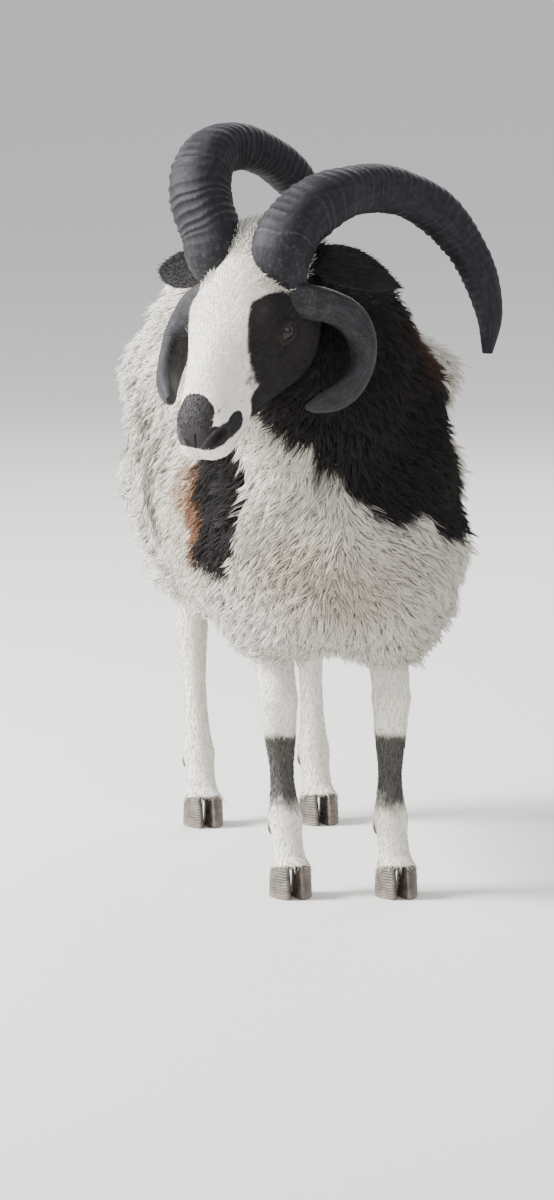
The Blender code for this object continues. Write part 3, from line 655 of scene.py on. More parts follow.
def ridge_at(gap, height, middle, reach):
    """How high a soft ridge beside a line stands, at each gap from that line."""
    return height * np.exp(-((gap - middle) / reach) ** 2)


# The muzzle is cut finer, and finer still where the mouth and nostrils are carved
MUZZLE_FROM = 0.212
points, corners = finer(points, corners, to_head(points)[:, 0] > MUZZLE_FROM)
local = to_head(points)
at_slit = np.abs(local[:, 2] - mouth_height(local[:, 0])) < 0.005
at_nostril = off_line(on_left(local), NOSTRIL_LINE) < 0.008
points, corners = finer(points, corners, (local[:, 0] > MUZZLE_FROM) & (at_slit | at_nostril))
corners, normals = facing_out(points, corners)
local = to_head(points)
on_lips = np.clip((local[:, 0] - MOUTH_CORNER) / 0.006, 0, 1)
lip_side = local[:, 2] - mouth_height(local[:, 0])
carved = ridge_at(lip_side, 0.0016, 0.0042, 0.0026) * on_lips
carved += ridge_at(lip_side, 0.0013, -0.0040, 0.0026) * on_lips
carved -= ridge_at(lip_side, 0.0042, 0.0, 0.0011) * on_lips
nostril_gap = off_line(on_left(local), NOSTRIL_LINE)
carved += ridge_at(nostril_gap, 0.0018, 0.0058, 0.0020)
carved -= ridge_at(nostril_gap, 0.0120, 0.0, 0.0034)
split_lip = (local[:, 0] > 0.243) & (lip_side > 0.0)
carved -= ridge_at(local[:, 1], 0.0016, 0.0, 0.0011) * split_lip
points = points + normals * carved[:, None]
shells = [(points, corners)]
ear_numbers = ear_share(points)

# Legs: bone and tendon under tight skin. Each row: height, distance behind the fetlock, half width,
# half depth
LOWER_LEG = ((0.112, 0.005, 0.0180, 0.0205), (0.091, 0.001, 0.0212, 0.0230), (0.070, -0.010, 0.0190, 0.0195),
             (0.050, -0.022, 0.0195, 0.0200), (0.034, -0.033, 0.0235, 0.0260))
FRONT_LEG = ((0.400, 0.045, 0.040, 0.056), (0.330, 0.035, 0.034, 0.044), (0.285, 0.018, 0.026, 0.032),
             (0.256, 0.004, 0.0235, 0.0270), (0.236, 0.000, 0.0240, 0.0265),
             (0.214, 0.002, 0.0195, 0.0230), (0.182, 0.006, 0.0160, 0.0190),
             (0.140, 0.007, 0.0155, 0.0180)) + LOWER_LEG
HIND_LEG = ((0.430, -0.020, 0.034, 0.044), (0.360, -0.004, 0.031, 0.044), (0.312, 0.014, 0.025, 0.040),
            (0.278, 0.034, 0.0215, 0.0340), (0.250, 0.036, 0.0220, 0.0310),
            (0.220, 0.030, 0.0190, 0.0250), (0.180, 0.021, 0.0160, 0.0195),
            (0.140, 0.012, 0.0160, 0.0185)) + LOWER_LEG
LEAN = {"front_left": 0.0, "front_right": -0.06, "hind_left": 0.0, "hind_right": -0.02}
LEG_SIDES = 40
LEG_COUNT = 110
FETLOCK_HEIGHT = 0.09
CANNON_HEIGHT = 0.165
KNEE_HEIGHT = 0.238
HAIR_DEPTH = 0.0012         # the short coat's depth on the legs
BELOW_KNEE = 0.188          # the front legs stay thick down to here


def near_height(height, middle, reach):
    """1 at a height on the leg, fading to 0 above and below it."""
    return math.exp(-((height - middle) / reach) ** 2)


for place, (x, y) in FEET.items():
    in_front = "front" in place
    rings = []
    c, s = ellipse_ring(LEG_SIDES, 2.0)
    for height, behind, half, deep in curve_through(FRONT_LEG if in_front else HIND_LEG, LEG_COUNT):
        tilt = CORONET_SLOPE * max(0.0, min(1.0, (0.050 - height) / 0.014))
        lean = LEAN[place] * max(height - FETLOCK_HEIGHT, 0.0)
        cannon = near_height(height, CANNON_HEIGHT, 0.045)
        below_knee = near_height(height, BELOW_KNEE, 0.030) if in_front else 0.0
        half = half * (1.0 + 0.26 * below_knee)
        deep = deep * (1.0 + 0.10 * below_knee)
        groove = 1.0 - 0.16 * cannon * np.exp(-((s - 0.15) / 0.28) ** 2)
        tendon = deep * (1.0 + 0.10 * cannon * (s > 0.7))
        knee = 0.0016 * near_height(height, KNEE_HEIGHT, 0.016) * (s < -0.3)
        rings.append(np.stack([x + lean + (half - HAIR_DEPTH) * c * groove,
                               y + behind + (tendon - HAIR_DEPTH + knee) * s,
                               height - tilt * deep * s], 1) + CENTRING)
    points, faces = skinned(rings)
    shells.append((points, facing_out(points, faces)[0]))

# Trunk, neck and tail under the fleece: the solids' own form, with the tops of the legs in it to fill
# the hollows where they join, evened out and set in by the depth of the fleece
TRUNK_NODES = ("torso", "neck", "tail")
THIGH_NODES = ("leg_front_left", "leg_front_right", "leg_hind_left", "leg_hind_right")
THIGH_LEVEL = 0.302         # all of a leg below this height is drawn up to it, so its top alone joins in
TRUNK_VOXEL = 0.011
TRUNK_EVENING = (24, 0.55)  # as for the head, and then a lighter one on the mesh made anew
TRUNK_EVENING_AGAIN = (4, 0.5)
FLEECE_DEPTH = 0.0055
TAIL_DEPTH = -0.008         # evening thins the tail, and this fills it out again
CUFF_DEPTH = 0.007          # where the legs leave the wool
trunk_parts = [mesh_arrays(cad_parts[node].data)[:2] for node in TRUNK_NODES + THIGH_NODES]
for thigh, _ in trunk_parts[len(TRUNK_NODES):]:
    thigh[:, 2] = np.maximum(thigh[:, 2], THIGH_LEVEL)
trunk_parts = [grown_together(trunk_parts, TRUNK_VOXEL, *TRUNK_EVENING)]
points, corners = grown_together(trunk_parts, TRUNK_VOXEL, *TRUNK_EVENING_AGAIN)
tail_front = 0.450 + 0.035 * np.clip((points[:, 2] - 0.50) / 0.08, 0, 1)
on_tail = np.clip((points[:, 1] - tail_front) / 0.015, 0, 1)
on_cuff = np.clip((0.33 - points[:, 2]) / 0.06, 0, 1)
depth = FLEECE_DEPTH + (TAIL_DEPTH - FLEECE_DEPTH) * on_tail
depth = depth + (CUFF_DEPTH - depth) * on_cuff
corners, trunk_normals = facing_out(points, corners)
trunk_shell = (points - trunk_normals * depth[:, None], corners)
shells.append(trunk_shell)

# Markings. White, with black on the left of the face, neck and shoulder, the right of the chest, the
# ears, the nose and bands below the knees, and two patches on the left rump, as the breed may have.
# Each row: middle of a patch, its reach in x, y and z
BLACK_PATCHES = (
    ((0.095, -0.328, 0.625), (0.130, 0.160, 0.165)),
    ((-0.020, -0.400, 0.700), (0.115, 0.090, 0.120)),
    ((0.022, -0.350, 0.775), (0.090, 0.080, 0.080)),
    ((-0.045, -0.405, 0.705), (0.075, 0.075, 0.085)),
    ((-0.138, -0.218, 0.487), (0.075, 0.095, 0.100)),
    ((0.150, -0.275, 0.500), (0.060, 0.070, 0.060)),
    ((0.200, 0.215, 0.630), (0.110, 0.085, 0.115)),
    ((0.190, 0.300, 0.560), (0.100, 0.095, 0.080)),
)
# Streaked grey patch on the right flank: partly the wool's grey-brown tone, partly painted shadow in the
# gaps between locks
GREY_AND_GAP_SHADE_PATCH = ((-0.155, 0.130, 0.490), (0.070, 0.240, 0.160))
RUST_PATCHES = (((0.135, -0.260, 0.690), (0.050, 0.110, 0.075)),
                ((-0.165, -0.165, 0.470), (0.040, 0.060, 0.110)))
TAN_PATCHES = (((-0.150, -0.105, 0.485), (0.050, 0.052, 0.075)),
               ((-0.155, -0.150, 0.430), (0.050, 0.038, 0.060)))
SOILED_PATCH = ((-0.010, -0.310, 0.400), (0.130, 0.100, 0.085))
KNEE_BAND = (0.108, 0.194)  # heights between which the front legs are dark
WHITE_WOOL = (0.84, 0.81, 0.745)
CREAM_WOOL = (0.66, 0.58, 0.45)
BLACK_WOOL = (0.014, 0.012, 0.012)
RUST_WOOL = (0.090, 0.042, 0.024)
# Grey-brown wool, which also stands for the painted shadow between the locks on the right flank
GREY_AND_GAP_SHADE_WOOL = (0.15, 0.120, 0.098)
TAN_WOOL = (0.33, 0.165, 0.080)
SOILED_WOOL = (0.50, 0.37, 0.27)
WORN_BLACK = (0.075, 0.055, 0.048)
BARE_NOSE = (0.016, 0.013, 0.014)
# Places on the head's axes: the dark round a nostril, the dark between them, a pale line beside it
NOSTRIL_MARK = ((0.2410, 0.0215, -0.0235), (0.2130, 0.0355, -0.0345))
NOSTRIL_MARK_HALF = 0.0122
NOSE_FRONT_MARK = ((0.2430, -0.0160, -0.0200), (0.2460, 0.0160, -0.0220))
NOSE_PALE_LINE = ((0.1990, 0.0335, -0.0085), (0.2290, 0.0165, -0.0125))
NOSE_TOP = (0.2235, -0.006, -0.010)
NOSE_TOP_REACH = 0.0275
FAR_EYE = (0.090, -0.066, -0.034)


def patch(finish, place, middle, reach):
    """1 in the middle of a patch, 0 on its edge and less outside it."""
    away = finish.vector("SUBTRACT", place, middle)
    away = finish.vector("DIVIDE", away, reach)
    return 1.0 - finish.length(away)


def patches(finish, place, rows):
    """The highest of several patches."""
    highest = patch(finish, place, *rows[0])
    for middle, reach in rows[1:]:
        highest = highest.above(patch(finish, place, middle, reach))
    return highest


def off_segment(finish, place, ends):
    """Distance from the line between two places on the head."""
    start, end = (from_head(spot) for spot in ends)
    span = end - start
    away = finish.vector("SUBTRACT", place, tuple(start))
    share = finish.vector("DOT_PRODUCT", away, tuple(span / (span @ span)), 1).above(0.0).below(1.0)
    nearest = finish.node("ShaderNodeVectorMath", {"operation": "SCALE"}, {0: tuple(span), 3: share})
    return finish.vector("DISTANCE", away, nearest, 1)


def from_poll(finish, place):
    """The way from the poll, the top of the head, to a place."""
    return finish.vector("SUBTRACT", place, tuple(POLL))


def along_axis(finish, place, axis):
    """How far from the poll a place is along one of the head's axes."""
    return finish.vector("DOT_PRODUCT", from_poll(finish, place), tuple(axis), 1)


def nose_mask(finish):
    """The dark skin round the nostrils and between them, with a pale line beside the left one."""
    place = finish.kept("root_place")
    wobble = (finish.noise(place, 120.0, 2.0) - 0.5) * 0.004
    reach = (NOSE_TOP_REACH,) * 3
    middle = patch(finish, place, tuple(from_head(NOSE_TOP)), reach) * 0.027
    left = NOSTRIL_MARK_HALF - off_segment(finish, place, NOSTRIL_MARK)
    across = [(a, -b, c) for a, b, c in NOSTRIL_MARK]
    right = NOSTRIL_MARK_HALF - off_segment(finish, place, across)
    middle = middle.above(NOSTRIL_MARK_HALF - off_segment(finish, place, NOSE_FRONT_MARK))
    pale = (off_segment(finish, place, NOSE_PALE_LINE) + wobble * 0.4).step(0.0016, 0.0034)
    ahead = along_axis(finish, place, FORWARD)
    up = along_axis(finish, place, UPWARD)
    from_slit = up - MOUTH_LEVEL + MOUTH_FALL * (MOUTH_BEND - ahead).above(0.0)
    slit = (0.0014 - from_slit.above(0.0 - from_slit)).step(-0.0004, 0.0006) * ahead.step(0.201, 0.206)
    slit = slit * (finish.length(from_poll(finish, place)) - 0.19).step(0.0, 0.01)
    slit = slit * (up + 0.10).step(0.0, 0.01)
    return (middle.above(right).above(left) * pale + wobble).step(-0.0006, 0.0012).above(slit)


def face_black(finish, place, wobble):
    """The black of the left cheek and jaw, the chin and the ring round the right eye."""
    ahead, left, up = (along_axis(finish, place, axis) for axis in HEAD_AXES)
    blaze_edge = 0.031 + 0.0105 * ahead.step(0.085, 0.165)
    cheek = (left - blaze_edge + wobble).step(-0.0012, 0.0018)
    jaw = ((0.137 - ahead).below(-0.043) - up + wobble).step(-0.001, 0.002)
    cheek = cheek.above(jaw * left.step(0.012, 0.020))
    brow = (ahead - 0.050 - (0.055 - left).above(0.0) * 1.15 + wobble).step(-0.002, 0.003)
    cheek = cheek * brow.above((0.0 - up - 0.046 + wobble).step(-0.003, 0.004))
    cheek = cheek * (0.201 - ahead + wobble).step(-0.003, 0.003)
    chin = (0.176 - ahead - (up + 0.085) * 0.9 + wobble).step(-0.004, 0.004)
    chin = chin * (0.0 - up - 0.070).step(0.0, 0.012)
    far_eye = patch(finish, place, tuple(from_head(FAR_EYE)), (0.029, 0.029, 0.027))
    far_eye = (far_eye + wobble * 34).step(-0.05, 0.1)
    return cheek.above(chin * (left + 0.02).step(0.0, 0.02)).above(far_eye)


def jowl_black(finish, place):
    """The black under the left jaw, where the head runs into the neck."""
    ahead, left, up = (along_axis(finish, place, axis) for axis in HEAD_AXES)
    jowl = (left - 0.002).step(0.0, 0.012) * (0.0 - up - 0.048).step(0.0, 0.010)
    jowl = jowl * (0.17 - ahead).step(0.0, 0.02)
    return jowl * (0.20 - finish.length(from_poll(finish, place))).step(0.0, 0.02)


def knee_black(finish, place, wobble):
    """The dark bands below the knees of the front legs."""
    height = finish.axis(place, 2)
    knees = (height - KNEE_BAND[0] + wobble * 4).step(-0.014, 0.012)
    knees = knees * (KNEE_BAND[1] - height + wobble * 2).step(-0.005, 0.005)
    return knees * (0.0 - finish.axis(place, 1) - 0.05).step(0.0, 0.01) * 0.93


def coat_colour(finish, along):
    """The markings' colour at the root of each hair, paler or rustier towards its tip."""
    place = finish.kept("root_place")
    ragged = finish.noise(place, 16.0, 3.0, 0.6) - 0.5
    fine = finish.noise(place, 60.0, 2.0, 0.6) - 0.5
    edge = ragged * 0.42 + fine * 0.16 + (finish.noise(place, 7.0, 1.0) - 0.5) * 0.5
    wobble = fine * 0.007 + ragged * 0.004
    rust = (patches(finish, place, RUST_PATCHES) + edge * 0.8).step(0.0, 0.5)
    # Hanging grey streaks: partly grey-brown wool, partly painted shadow between the locks
    hanging = finish.vector("MULTIPLY", place, (1.5, 1.5, 0.5))
    streaks = (finish.noise(hanging, 24.0, 3.0, 0.6) - 0.5) * 2.4 + fine * 1.4
    grey = (patch(finish, place, *GREY_AND_GAP_SHADE_PATCH) * 0.45 + streaks).step(0.15, 0.42)

    on_head = (along_axis(finish, place, FORWARD) + 0.034).step(-0.012, 0.012)
    on_head = on_head * finish.kept("head_part", 2)
    ear = (finish.kept("ear_part", 2) + wobble * 22).step(0.35, 0.6)
    black = (patches(finish, place, BLACK_PATCHES) + edge).step(-0.02, 0.05) * (1.0 - on_head)
    black = black.above(face_black(finish, place, wobble) * on_head)
    black = black.above(ear).above(jowl_black(finish, place))
    black = black.above(knee_black(finish, place, wobble)).above(nose_mask(finish))

    tone = finish.noise(place, 9.0, 4.0, 0.6)
    white = finish.mix(tone.step(0.35, 0.75) * 0.45, WHITE_WOOL, CREAM_WOOL)
    white = finish.mix((1.0 - along) * 0.35, white, CREAM_WOOL)
    # The grey streaks mixed in: grey-brown tone with painted shadow between the locks
    white = finish.mix(grey * 0.85 * (1.0 - on_head), white, GREY_AND_GAP_SHADE_WOOL)
    soiled = (patch(finish, place, *SOILED_PATCH) + ragged * 0.8).step(0.0, 0.9)
    white = finish.mix(soiled * 0.5, white, SOILED_WOOL)
    tan = (patches(finish, place, TAN_PATCHES) + ragged * 1.1 + fine * 1.8).step(0.05, 0.45)
    white = finish.mix(tan * (1.0 - along * 0.35) * 0.85, white, TAN_WOOL)
    dark = finish.mix(rust * along * 0.85, BLACK_WOOL, RUST_WOOL)
    dark = finish.mix(tan * 0.8, dark, TAN_WOOL)
    dark = finish.mix((tone - 0.4).above(0.0) * along * 0.5, dark, WORN_BLACK)
    return finish.mix(black, white, dark)


skin_finish = Finish("skin_and_short_coat", roughness=0.75, specular_ior_level=0.22)
skin_along = skin_finish.noise(skin_finish.kept("root_place"), 140.0, 2.0)
skin_tint = coat_colour(skin_finish, skin_along)
nose = nose_mask(skin_finish)
skin_tint = skin_finish.mix(nose, skin_tint, BARE_NOSE)
skin_finish.feed("Base Color", skin_tint)
skin_finish.feed("Roughness", 0.80 - nose * 0.22)
pebbles = skin_finish.node("ShaderNodeTexVoronoi", {}, {"Vector": skin_finish.place(), "Scale": 620.0})
combed = skin_finish.vector("MULTIPLY", skin_finish.place(), (1.0, 1.0, 0.35))
hairs = skin_finish.noise(combed, 900.0, 2.0)
skin_finish.bump(pebbles * nose * 0.5 + hairs * (1.0 - nose), 0.0007, 0.8)

skin_points, skin_faces = joined(shells)
skin_normals = normals_of(skin_points, skin_faces)
part_of_face = np.concatenate([np.full(len(faces), k) for k, (_, faces) in enumerate(shells)])
skin = mesh_piece("skin", skin_points, skin_faces, skin_finish)


def keep(piece, label, kind, numbers):
    """Stores numbers on a piece's points for its shader."""
    kept = piece.data.attributes.new(label, kind, "POINT")
    kept.data.foreach_set("vector" if kind == "FLOAT_VECTOR" else "value",
                          np.asarray(numbers, np.float32).ravel())


ear_numbers = np.r_[ear_numbers, np.zeros(len(skin_points) - len(ear_numbers))]
keep(skin, "root_place", "FLOAT_VECTOR", skin_points)
keep(skin, "ear_part", "FLOAT", ear_numbers)
keep(skin, "head_part", "FLOAT", np.arange(len(skin_points)) < len(shells[0][0]))
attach(skin, "root")
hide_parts("torso", "neck", "tail", "head", "ear_left", "ear_right", "leg_front_left",
            "leg_front_right", "leg_hind_left", "leg_hind_right")

# Eyes
# A wet ball in each socket: a dark amber iris with a level slot for a pupil, under a clear bulge.
IRIS_REACH = 0.0112
PUPIL_HALF = (0.0056, 0.0021)
CORNEA_RISE = 0.0011
EYE_SIDES = 72
EYE_COUNT = 64
IRIS_DARK = (0.006, 0.003, 0.0015)
IRIS_PALE = (0.022, 0.010, 0.004)
IRIS_RIM = (0.018, 0.010, 0.006)
PUPIL_BLACK = (0.003, 0.003, 0.004)
EYE_WHITE = (0.020, 0.013, 0.010)
EYE_VEINED = (0.010, 0.007, 0.006)
eye_finish = Finish("wet_eye", roughness=0.03, specular_ior_level=0.30)
eye_side = eye_finish.kept("eye_across", 2)
eye_up = eye_finish.kept("eye_up", 2)
reach = (eye_side * eye_side + eye_up * eye_up) ** 0.5
fibres = eye_finish.noise(eye_finish.place(), 900.0, 3.0)
iris = eye_finish.mix(fibres, IRIS_DARK, IRIS_PALE)
iris = eye_finish.mix((reach - IRIS_REACH * 0.8).step(0.0, IRIS_REACH * 0.2), iris, IRIS_RIM)
white_of_eye = eye_finish.mix(fibres * 0.6, EYE_WHITE, EYE_VEINED)
ball_tint = eye_finish.mix((reach - IRIS_REACH).step(-0.0003, 0.0003), iris, white_of_eye)
slot = (eye_side / PUPIL_HALF[0]) ** 4.0 + (eye_up / PUPIL_HALF[1]) ** 4.0
ball_tint = eye_finish.mix(slot.step(0.8, 1.3), PUPIL_BLACK, ball_tint)
eye_finish.feed("Base Color", ball_tint)
for side, word in ((1, "left"), (-1, "right")):
    out, _, _, middle = eye_axes(side)
    level = np.cross([0, 0, 1.0], out)
    level = level / np.linalg.norm(level)
    above = np.cross(out, level)
    rings = []
    turn = 2 * np.pi * np.arange(EYE_SIDES) / EYE_SIDES
    for lean in np.linspace(0.02, math.pi - 0.02, EYE_COUNT):
        rise = CORNEA_RISE * math.exp(-(lean / 0.50) ** 2)
        ring = out * (math.cos(lean) * (EYE_RADIUS + rise))
        ring = ring + level * (math.sin(lean) * EYE_RADIUS * np.cos(turn))[:, None]
        rings.append(ring + above * (math.sin(lean) * EYE_RADIUS * np.sin(turn))[:, None])
    points, faces = skinned(rings)
    faces, _ = facing_out(points, faces)
    eye = mesh_piece("eyeball_" + word, points + middle, faces, eye_finish)
    behind = np.where(points @ out > 0, 0.0, 1.0)
    keep(eye, "eye_across", "FLOAT", points @ level + behind)
    keep(eye, "eye_up", "FLOAT", points @ above + behind)
    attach(eye, "root")
    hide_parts("eye_" + word)

# Horns
# Four dark horns of hard keratin on bony cores: a tall pair that sweeps up, out and down, and a
# crescent pair at the sides. Growth ridges ring them, closest at the base, and their tops wear pale.
# Each row: centre on the head's axes, half width, half depth
UPPER_LEFT_HORN = ((0.026, 0.038, -0.040, 0.026, 0.026), (0.010, 0.042, -0.014, 0.034, 0.034),
                   (-0.019, 0.045, -0.008, 0.0350, 0.0365), (-0.057, 0.054, -0.020, 0.0335, 0.0345),
                   (-0.098, 0.068, -0.050, 0.0300, 0.0315), (-0.140, 0.081, -0.110, 0.0275, 0.0285),
                   (-0.159, 0.101, -0.175, 0.0265, 0.0265), (-0.153, 0.120, -0.227, 0.0250, 0.0250),
                   (-0.129, 0.137, -0.280, 0.0215, 0.0215), (-0.091, 0.147, -0.322, 0.016, 0.016),
                   (-0.050, 0.146, -0.347, 0.006, 0.006))
UPPER_RIGHT_HORN = ((0.028, -0.038, -0.040, 0.026, 0.026), (0.012, -0.044, -0.014, 0.034, 0.034),
                    (-0.012, -0.052, 0.002, 0.0335, 0.0355), (-0.042, -0.068, 0.015, 0.0345, 0.036),
                    (-0.078, -0.078, 0.019, 0.0335, 0.0345), (-0.118, -0.081, 0.004, 0.0305, 0.032),
                    (-0.151, -0.078, -0.041, 0.026, 0.028), (-0.166, -0.068, -0.098, 0.0245, 0.026),
                    (-0.167, -0.061, -0.152, 0.0225, 0.0235), (-0.157, -0.053, -0.199, 0.018, 0.018),
                    (-0.138, -0.046, -0.228, 0.007, 0.007))
SIDE_LEFT_HORN = ((0.050, 0.030, -0.036, 0.022, 0.024), (0.043, 0.058, -0.056, 0.021, 0.022),
                  (0.034, 0.077, -0.082, 0.020, 0.0195), (0.032, 0.091, -0.112, 0.0195, 0.017),
                  (0.045, 0.100, -0.136, 0.0190, 0.015), (0.070, 0.105, -0.147, 0.0180, 0.013),
                  (0.102, 0.106, -0.141, 0.0170, 0.0115), (0.131, 0.103, -0.122, 0.0150, 0.010),
                  (0.154, 0.096, -0.098, 0.0110, 0.0075), (0.166, 0.091, -0.084, 0.0040, 0.003))
SIDE_RIGHT_HORN = ((0.052, -0.030, -0.038, 0.022, 0.023), (0.048, -0.062, -0.054, 0.0215, 0.0220),
                   (0.045, -0.092, -0.078, 0.0215, 0.0205), (0.049, -0.115, -0.101, 0.0215, 0.0185),
                   (0.062, -0.130, -0.116, 0.0215, 0.0165), (0.088, -0.134, -0.122, 0.0210, 0.0150),
                   (0.115, -0.128, -0.115, 0.0200, 0.0135), (0.140, -0.115, -0.101, 0.0175, 0.0115),
                   (0.159, -0.100, -0.088, 0.0125, 0.0085), (0.169, -0.092, -0.080, 0.0045, 0.0035))
HORN_SIDES = 56
HORN_COUNT = 280


def horn_finish(name, dark, pale):
    finish = Finish(name, roughness=0.5, specular_ior_level=0.18)
    place = finish.place()
    ridge = finish.kept("ridge", 2)
    grain = finish.kept("grain")
    streak = finish.noise(grain, 26.0, 4.0, 0.6)
    fleck = finish.noise(place, 240.0, 3.0, 0.65)
    cloud = finish.noise(place, 28.0, 3.0)
    tint = finish.mix(streak.step(0.35, 0.72), dark, tuple(2.1 * c for c in dark))
    tint = finish.mix(cloud.step(0.5, 0.75) * 0.35, tint, tuple(0.45 * c for c in dark))
    worn = (ridge + (fleck - 0.5) * 1.2).step(0.62, 1.05) * (cloud * 1.6 - 0.35).above(0.0)
    tint = finish.mix(worn * 0.55, tint, pale)
    base = (fleck - 0.42).step(0.10, 0.20) * finish.kept("base", 2)
    tint = finish.mix(base * 0.26, tint, pale)
    finish.feed("Base Color", tint)
    finish.feed("Roughness", 0.50 + fleck * 0.28 + worn * 0.1)
    finish.bump(streak * 0.6 + fleck * 0.35, 0.0009)
    return finish


upper_horn_finish = horn_finish("dark_horn", (0.010, 0.010, 0.0125), (0.12, 0.116, 0.112))
side_horn_finish = horn_finish("grey_horn", (0.019, 0.018, 0.020), (0.14, 0.132, 0.125))
ridge_draw = np.random.default_rng(41)


def horn(name, node, rows, finish, spacing, height):
    """A dense tube along the horn's own curve with uneven growth ridges round it."""
    rows = curve_through(rows, HORN_COUNT)
    path = from_head(rows[:, :3])
    arc = lengths_along(path)
    along = np.gradient(path, axis=0)
    along = along / np.linalg.norm(along, axis=1)[:, None]
    side = np.cross(along, LEFTWARD)
    side = side / np.linalg.norm(side, axis=1)[:, None]
    up = np.cross(side, along)
    places, at = [], 0.0
    while at < arc[-1]:
        places.append(at)
        at += spacing * (1.0 + 0.25 * at / arc[-1]) * ridge_draw.uniform(0.75, 1.25)
    places = np.array(places)
    sizes = ridge_draw.uniform(0.55, 1.0, len(places))
    c, s = ellipse_ring(HORN_SIDES, 2.2)
    turn = 2 * np.pi * (np.arange(HORN_SIDES) + 0.5) / HORN_SIDES
    sway = 0.0022 * np.sin(turn * 2 + 1.3) + 0.0012 * np.sin(turn * 5)
    off = (arc[:, None] + sway[None, :])[..., None] - places
    rise = (sizes * np.exp(-(off / (spacing * 0.24)) ** 2)).max(-1)
    fade = np.clip((arc[-1] - arc) / (0.30 * arc[-1]), 0.0, 1.0)[:, None]
    flats = 0.0010 * np.sin(turn * 3 + 0.7)[None, :] * fade
    lump = 0.0007 * np.sin(arc * 61.0)[:, None] * fade
    worn_base = np.clip(arc / 0.10, 0.35, 1.0)[:, None]
    grown = height * worn_base * (rise - 0.4) * fade * (0.75 + 0.25 * np.cos(turn + 0.8))[None, :]
    grown = grown + flats + lump
    across = (rows[:, 3:4] + grown) * c
    deep = (rows[:, 4:5] + grown) * s
    rings = path[:, None] + side[:, None] * across[..., None] + up[:, None] * deep[..., None]
    points, faces = skinned(rings)
    faces, _ = facing_out(points, faces)
    made = mesh_piece(name, points, faces, finish)
    keep(made, "ridge", "FLOAT", np.r_[(rise * fade).ravel(), 0, 0])
    base = np.repeat(np.clip(1.0 - arc / 0.085, 0.0, 1.0), HORN_SIDES)
    keep(made, "base", "FLOAT", np.r_[base, 0, 0])
    grain = np.stack([np.repeat(arc[:, None], HORN_SIDES, 1) * 0.35, 0.030 * np.cos(turn) + 0 * arc[:, None],
                      0.030 * np.sin(turn) + 0 * arc[:, None]], -1).reshape(-1, 3)
    keep(made, "grain", "FLOAT_VECTOR", np.vstack([grain, np.zeros((2, 3))]) * 6.0)
    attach(made, "root")
    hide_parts(node)


horn("tall_horn_left", "horn_upper_left", UPPER_LEFT_HORN, upper_horn_finish, 0.0092, 0.0030)
horn("tall_horn_right", "horn_upper_right", UPPER_RIGHT_HORN, upper_horn_finish, 0.0092, 0.0030)
horn("crescent_horn_left", "horn_side_left", SIDE_LEFT_HORN, side_horn_finish, 0.0050, 0.0009)
horn("crescent_horn_right", "horn_side_right", SIDE_RIGHT_HORN, side_horn_finish, 0.0050, 0.0009)

# Fleece
# Dense open wool that lies down and back in small pointed locks of fine crimped strands. It is
# longest on the flanks and chest, and short at the head, on the belly, the tail and the upper legs.
LOCK_SPACE = 0.0085
LOCK_TRIES = 60000
STRANDS = 69600
STRAND_TRIES = int(STRANDS * 3.4)
STRAND_CELL = 0.0030
STRAND_RINGS = 4
STRANDS_A_PIECE = 11600
WOOL_LENGTH = 0.027
FLOOR_GAP = 0.002
BAKE_PATCH = 0.003          # how wide a strand's own patch is in the skin's flat layout
# Large odd numbers that turn the place of a small cube into one number
CELL_MIX = np.array([73856093, 19349663, 83492791])

# The skin is laid out flat for baking. Each strand takes a small patch of that, at its root.
bpy.context.view_layer.objects.active = skin
skin.select_set(True)
bpy.ops.object.mode_set(mode="EDIT")
bpy.ops.mesh.select_all(action="SELECT")
bpy.ops.uv.smart_project(angle_limit=1.2, island_margin=0.002)
bpy.ops.object.mode_set(mode="OBJECT")
skin.data.uv_layers[0].name = "OFBake"
skin_uv = np.empty(len(skin.data.loops) * 2, np.float32)
skin.data.uv_layers["OFBake"].data.foreach_get("uv", skin_uv)
skin_uv = skin_uv.reshape(-1, 3, 2)

fleece_draw = np.random.default_rng(7)


def doubled_areas(corners):
    """Twice the area of each of the skin's triangles with these corners."""
    a, b, c = (skin_points[corners[:, k]] for k in range(3))
    return np.linalg.norm(np.cross(b - a, c - a), axis=1)


def scatter(draw, faces_used, count, cell):
    """Places spread over some of the skin's faces, at most one in each small cube of space."""
    corners = skin_faces[faces_used]
    area = doubled_areas(corners)
    pick = draw.choice(len(corners), count, p=area / area.sum())
    u, v = draw.random(count), draw.random(count)
    flip = u + v > 1
    u, v = np.where(flip, 1 - u, u), np.where(flip, 1 - v, v)
    weights = np.stack([1 - u - v, u, v], 1)

    def blend(values):
        return (values * weights[:, :, None]).sum(1)

    place = blend(skin_points[corners[pick]])
    normal = blend(skin_normals[corners[pick]])
    normal = normal / np.linalg.norm(normal, axis=1)[:, None]
    uv = blend(skin_uv[faces_used][pick])
    cube = np.floor(place / cell).astype(np.int64)
    _, first = np.unique(np.bitwise_xor.reduce(cube * CELL_MIX, axis=1), return_index=True)
    first.sort()
    return place[first], normal[first], uv[first]


def unit(vectors):
    """The same directions, each of length 1."""
    return vectors / np.maximum(np.linalg.norm(vectors, axis=-1), 1e-9)[..., None]


def inside_head(points, margin):
    """Which places lie inside the bare head, or nearer to it than the margin."""
    local = to_head(points)
    rows = curve_through(HEAD_RINGS, 200)
    half, top, bottom = (np.interp(local[:, 0], rows[:, 0], rows[:, k], -1, -1) for k in (1, 2, 3))
    reach = (top + bottom) / 2
    up = (local[:, 2] - (top - bottom) / 2) / (reach + margin)
    out = local[:, 1] / (half + margin)
    return (np.abs(up) ** 2.2 + np.abs(out) ** 2.2 < 1) & (half > 0)


def smooth_noise(points, scale, seed):
    """A cheap smooth random number for each place, from a sum of slanting waves."""
    draw = np.random.default_rng(seed)
    total = np.zeros(len(points))
    for _ in range(7):
        way = unit(draw.normal(size=3)) * scale * draw.uniform(0.6, 1.6)
        total += np.sin(points @ way + draw.uniform(0, 6.28))
    return total / 3.0


